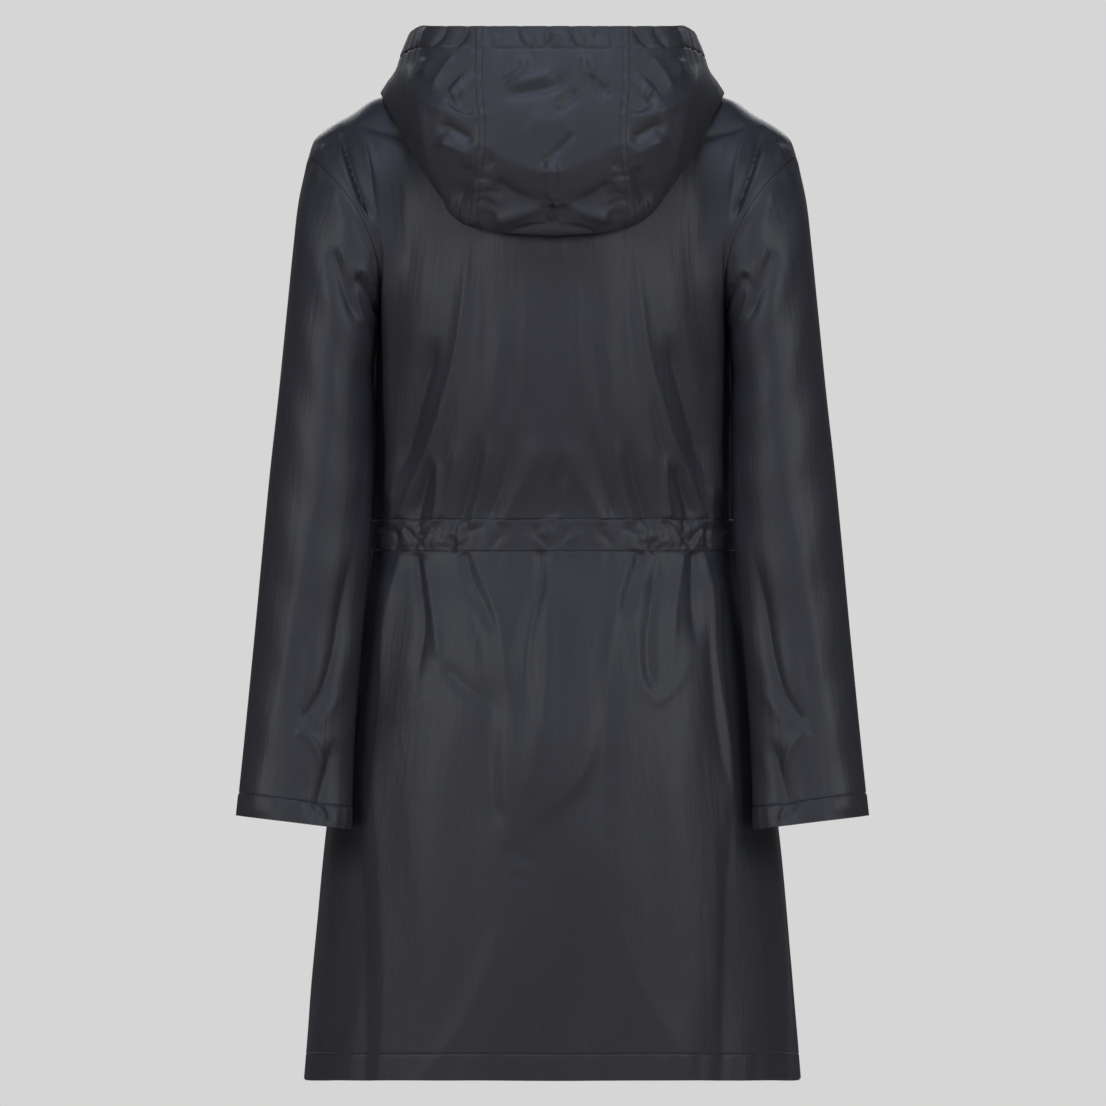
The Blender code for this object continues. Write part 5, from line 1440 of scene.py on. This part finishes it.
def slider_and_pull():
    """The slider with its bridge, and the pull tab that hangs on it; outlines are in metres from
    the slider's middle and from the pull's hinge axis."""
    centre, run, out = (value[0] for value in front_frame(np.array([SLIDER_DOWN])))
    tilt = math.atan2(run[1], -run[2])
    shield = round_corners(both_sides([
        (SLIDER_HALF_WIDTH, SLIDER_HALF_LENGTH),
        (SLIDER_HALF_WIDTH, SLIDER_SHOULDER),
        (SLIDER_TAIL_HALF_WIDTH, -SLIDER_HALF_LENGTH),
    ]), PLATE_CORNER)
    arch = both_sides([
        (0.0022, -0.0040), (0.0032, -0.0035), (0.0036, -0.0028), (0.0036, BRIDGE_LEG_END),
        (0.0027, BRIDGE_LEG_END), (0.0027, -0.0027), (0.0021, -0.0032),
    ])
    front_thick = (PLATE_BACK - PLATE_FRONT) / 2
    rear_thick = (REAR_PLATE_BACK - REAR_PLATE_FRONT) / 2
    front = cut_plate("front_plate", [shield], front_thick, PLATE_BEVEL)
    rear = cut_plate("rear_plate", [shield], rear_thick, PLATE_BEVEL)
    bridge = cut_plate("bridge", [arch], BRIDGE_HALF_WIDTH, FINE_BEVEL)
    block = both_sides([(NECK_HALF_X, 0.0), (NECK_HALF_X, NECK_LENGTH)])
    neck = cut_plate("neck", [block], NECK_HALF_DEPTH, NECK_BEVEL)
    slider = placed("slider_body", [
        (front, 0, 2, 1, (0.0, (PLATE_FRONT + PLATE_BACK) / 2, 0.0)),
        (rear, 0, 2, 1, (0.0, (REAR_PLATE_FRONT + REAR_PLATE_BACK) / 2, 0.0)),
        (neck, 0, 2, 1, (0.0, *NECK_PLACE)),
        (bridge, 2, 1, 0, (0.0, 0.0, 0.0)),
    ], centre, tilt)
    tab = round_corners(both_sides([
        (PULL_TOP_HALF_WIDTH, 0.0005), (PULL_TOP_HALF_WIDTH, PULL_NARROW_TO),
        (PULL_HALF_WIDTH, PULL_WIDE_FROM), (PULL_HALF_WIDTH, -PULL_LENGTH),
    ]), PULL_CORNER)
    eye = round_corners(both_sides([(EYE_HALF_WIDTH, -0.0005), (EYE_HALF_WIDTH, -0.0054)]), EYE_CORNER)
    hole = [
        (PULL_HOLE_RADIUS * math.sin(a), PULL_HOLE_RADIUS * math.cos(a) - PULL_HOLE_DOWN)
        for a in np.linspace(0, 2 * np.pi, 17)[:-1]
    ]
    leaf = cut_plate("leaf", [tab, eye, hole], PULL_HALF_THICKNESS, FINE_BEVEL)
    pin = centre + out * (PIN_HEIGHT - PLATE_FRONT)
    pull = placed("pull_leaf", [(leaf, 0, 2, 1, (0.0, 0.0, 0.0))], pin, tilt)
    return slider, pull


# ---- materials ----
def node(tree, kind, **inputs):
    made = tree.nodes.new(kind)
    for name, value in inputs.items():
        made.inputs[name].default_value = value
    return made


def noise(tree, place, scale, detail, roughness=0.6, distortion=0.0):
    """Noise over coordinates, stretched by a scale for each axis."""
    stretch = node(tree, "ShaderNodeMapping", Scale=scale)
    made = node(tree, "ShaderNodeTexNoise",
                Scale=1.0, Detail=detail, Roughness=roughness, Distortion=distortion)
    tree.links.new(place, stretch.inputs["Vector"])
    tree.links.new(stretch.outputs["Vector"], made.inputs["Vector"])
    return made.outputs["Fac"]


def shades(tree, factor, low, high, ends):
    """Colour from one shade to the other, as the factor goes between its ends."""
    ramp = tree.nodes.new("ShaderNodeValToRGB")
    for stop, place, shade in zip(ramp.color_ramp.elements, ends, (low, high)):
        stop.position = place
        stop.color = (*shade, 1.0)
    tree.links.new(factor, ramp.inputs["Fac"])
    return ramp.outputs["Color"]


def bump(tree, height, strength, distance, under=None):
    made = node(tree, "ShaderNodeBump", Strength=strength, Distance=distance)
    tree.links.new(height, made.inputs["Height"])
    if under is not None:
        tree.links.new(under, made.inputs["Normal"])
    return made.outputs["Normal"]


def new_look(name, roughness):
    made = bpy.data.materials.new(name)
    made.use_nodes = True
    shader = made.node_tree.nodes["Principled BSDF"]
    shader.inputs["Roughness"].default_value = roughness
    return made, made.node_tree, shader


def thread_or(tree, laid, cloth):
    """The thread's colour where the thread lies in the cloth's coordinates, and the cloth's elsewhere; the
    thread is darker than the cloth partly in its own colour and partly as painted shade of the stitch line's
    groove.
    """
    split = tree.nodes.new("ShaderNodeSeparateXYZ")
    sewn = tree.nodes.new("ShaderNodeMath")
    sewn.operation = "LESS_THAN"
    sewn.inputs[1].default_value = THREAD_UV / 2
    shade = tree.nodes.new("ShaderNodeMix")
    shade.data_type = "RGBA"
    # the darker thread colour is partly painted shade of the stitch groove
    shade.inputs["B"].default_value = (*THREAD_COLOUR_AND_PAINTED_SHADE, 1.0)
    tree.links.new(laid, split.inputs["Vector"])
    tree.links.new(split.outputs["X"], sewn.inputs[0])
    tree.links.new(sewn.outputs["Value"], shade.inputs["Factor"])
    tree.links.new(cloth, shade.inputs["A"])
    return shade.outputs["Result"]


def shell_cloth():
    """Charcoal coated taffeta: fine weave, a faint slub along the warp, crumpled in the hand."""
    made, tree, shader = new_look("shell_cloth_look", 0.55)
    shader.inputs["Specular IOR Level"].default_value = 0.31
    place = node(tree, "ShaderNodeUVMap")
    place.uv_map = "cloth"
    laid = place.outputs["UV"]
    body = tree.nodes.new("ShaderNodeTexCoord").outputs["Object"]
    weave = node(tree, "ShaderNodeMix", Factor=0.4)
    tree.links.new(noise(tree, laid, (900.0, 60.0, 1.0), 2.0), weave.inputs["A"])
    tree.links.new(noise(tree, laid, (60.0, 800.0, 1.0), 2.0), weave.inputs["B"])
    woven = weave.outputs["Result"]
    cloth = shades(tree, woven, CLOTH_DARK, CLOTH_LIGHT, (0.30, 0.72))
    tree.links.new(thread_or(tree, laid, cloth), shader.inputs["Base Color"])
    drawn = noise(tree, laid, (120.0, 9.0, 1.0), 3.0, distortion=0.3)
    crumpled = noise(tree, body, (85.0, 85.0, 30.0), 4.0, roughness=0.55, distortion=0.6)
    grained = noise(tree, body, (420.0, 420.0, 420.0), 3.0)
    normal = bump(tree, drawn, 0.50, 0.0012)
    normal = bump(tree, crumpled, 0.32, 0.0016, normal)
    normal = bump(tree, grained, 0.30, 0.00025, normal)
    normal = bump(tree, woven, 0.25, 0.00012, normal)
    tree.links.new(normal, shader.inputs["Normal"])
    return made


def plain_look(name, low, high, roughness, metallic, scale):
    """A procedural colour between two close shades, with a matching fine bump."""
    made, tree, shader = new_look(name, roughness)
    shader.inputs["Metallic"].default_value = metallic
    body = tree.nodes.new("ShaderNodeTexCoord").outputs["Object"]
    grain = noise(tree, body, (scale, scale, scale), 3.0)
    tree.links.new(shades(tree, grain, low, high, (0.3, 0.7)), shader.inputs["Base Color"])
    tree.links.new(bump(tree, grain, 0.3, 0.0001), shader.inputs["Normal"])
    return made


# ---- light, floor and camera ----
FLOOR_Z = -1.25
FLOOR_REACH = 6.0
COAT_MIDDLE = (0.0, 0.0, -0.45)
NECK_BEHIND = (0.0, 0.08, -0.05)
PICTURE_WIDTH = 1.0396     # metres across the picture
CAMERA_PLACE = (-0.0005, 3.0, -0.4493)

Softbox = namedtuple("Softbox", "name place aim width height power colour")
SOFTBOXES = [
    Softbox("key_left", (1.95, 1.85, 0.45), COAT_MIDDLE, 1.3, 1.0, 37.0, SOFT_WHITE),
    Softbox("key_right", (-1.95, 1.85, 0.45), COAT_MIDDLE, 1.3, 1.0, 37.0, SOFT_WHITE),
    Softbox("behind_camera", (0.0, 3.6, 0.15), COAT_MIDDLE, 1.2, 1.3, 10.0, SOFT_WHITE),
    Softbox("high", (0.0, 0.85, 1.35), NECK_BEHIND, 0.6, 0.4, 16.0, COOL_WHITE),
    Softbox("front_left", (0.7, -2.6, 1.10), COAT_MIDDLE, 1.1, 0.9, 36.0, SOFT_WHITE),
    Softbox("front_right", (-0.7, -2.6, 1.10), COAT_MIDDLE, 1.1, 0.9, 36.0, SOFT_WHITE),
]


def add_light(box):
    light = bpy.data.lights.new(box.name, "AREA")
    light.shape = "RECTANGLE"
    light.size, light.size_y = box.width, box.height
    light.energy = box.power
    light.color = box.colour
    made = add_object(box.name, light)
    made.location = box.place
    made.rotation_mode = "QUATERNION"
    made.rotation_quaternion = (Vector(box.aim) - Vector(box.place)).to_track_quat("-Z", "Y")


def backdrop():
    """A world that is pale to the camera and gives the coat only a dim, even light."""
    world = bpy.data.worlds.new("studio")
    world.use_nodes = True
    tree = world.node_tree
    tree.nodes.clear()
    seen = tree.nodes.new("ShaderNodeLightPath")
    pale = node(tree, "ShaderNodeBackground", Color=(0.680, 0.672, 0.672, 1.0))
    dim = node(tree, "ShaderNodeBackground", Color=(0.90, 0.95, 1.0, 1.0), Strength=0.07)
    mix = tree.nodes.new("ShaderNodeMixShader")
    out = tree.nodes.new("ShaderNodeOutputWorld")
    tree.links.new(seen.outputs["Is Camera Ray"], mix.inputs["Fac"])
    tree.links.new(dim.outputs["Background"], mix.inputs[1])
    tree.links.new(pale.outputs["Background"], mix.inputs[2])
    tree.links.new(mix.outputs["Shader"], out.inputs["Surface"])
    bpy.context.scene.world = world


def floor():
    corners = [(FLOOR_REACH * x, FLOOR_REACH * y, FLOOR_Z) for x, y in ((-1, -1), (1, -1), (1, 1), (-1, 1))]
    made = plain_mesh("floor", corners, [(0, 1, 2, 3)])
    look = plain_look("floor_look", (0.62, 0.61, 0.61), (0.65, 0.64, 0.64), 0.8, 0.0, 3.0)
    made.data.materials.append(look)


def camera():
    """Looks square at the coat's back, without perspective."""
    view = bpy.data.cameras.new("camera")
    view.type = "ORTHO"
    view.ortho_scale = PICTURE_WIDTH
    view.clip_start, view.clip_end = 0.1, 12.0
    made = add_object("camera", view)
    made.location = CAMERA_PLACE
    made.rotation_euler = (math.radians(90.0), 0.0, math.radians(180.0))
    bpy.context.scene.camera = made


def studio():
    backdrop()
    for box in SOFTBOXES:
        add_light(box)
    floor()
    camera()
    bpy.context.scene.view_settings.view_transform = "Standard"


# ---- the dressed part ----
def put_on(piece, node_name, body, look):
    """Dresses a node: the piece takes its place, moves with its body and wears its slot's look."""
    piece.data.materials.append(look)
    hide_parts(node_name)
    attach(piece, body)


def dress_cloth():
    cloth = shell_cloth()
    made = body_panels()
    made["sleeve_left"] = sleeve("cloth_sleeve_left", 1.0, SLEEVE_BACK, SLEEVE_FRONT)
    made["sleeve_right"] = sleeve("cloth_sleeve_right", -1.0, drifted(SLEEVE_BACK), drifted(SLEEVE_FRONT))
    made.update(hood())
    made["waist_casing"] = waist_casing()
    for name, piece in made.items():
        put_on(piece, name, "coat", cloth)


def dress_zip(frame):
    looks = {one.slot: plain_look(one.slot + "_look", *one[1:]) for one in ZIP_LOOKS}
    for name in ("zip_tape_left", "zip_tape_right"):
        for slot in frame["nodes"][name].material_slots:
            slot.material = looks["zip_cloth"]
    teeth = zip_teeth()
    slider, pull = slider_and_pull()
    put_on(teeth, "zip_chain", "coat", looks["zip_coil"])
    put_on(slider, "zip_slider", "coat", looks["zip_metal"])
    put_on(pull, "zip_pull", "pull_tab", looks["zip_metal"])


def main():
    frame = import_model()
    dress_cloth()
    dress_zip(frame)
    studio()


main()
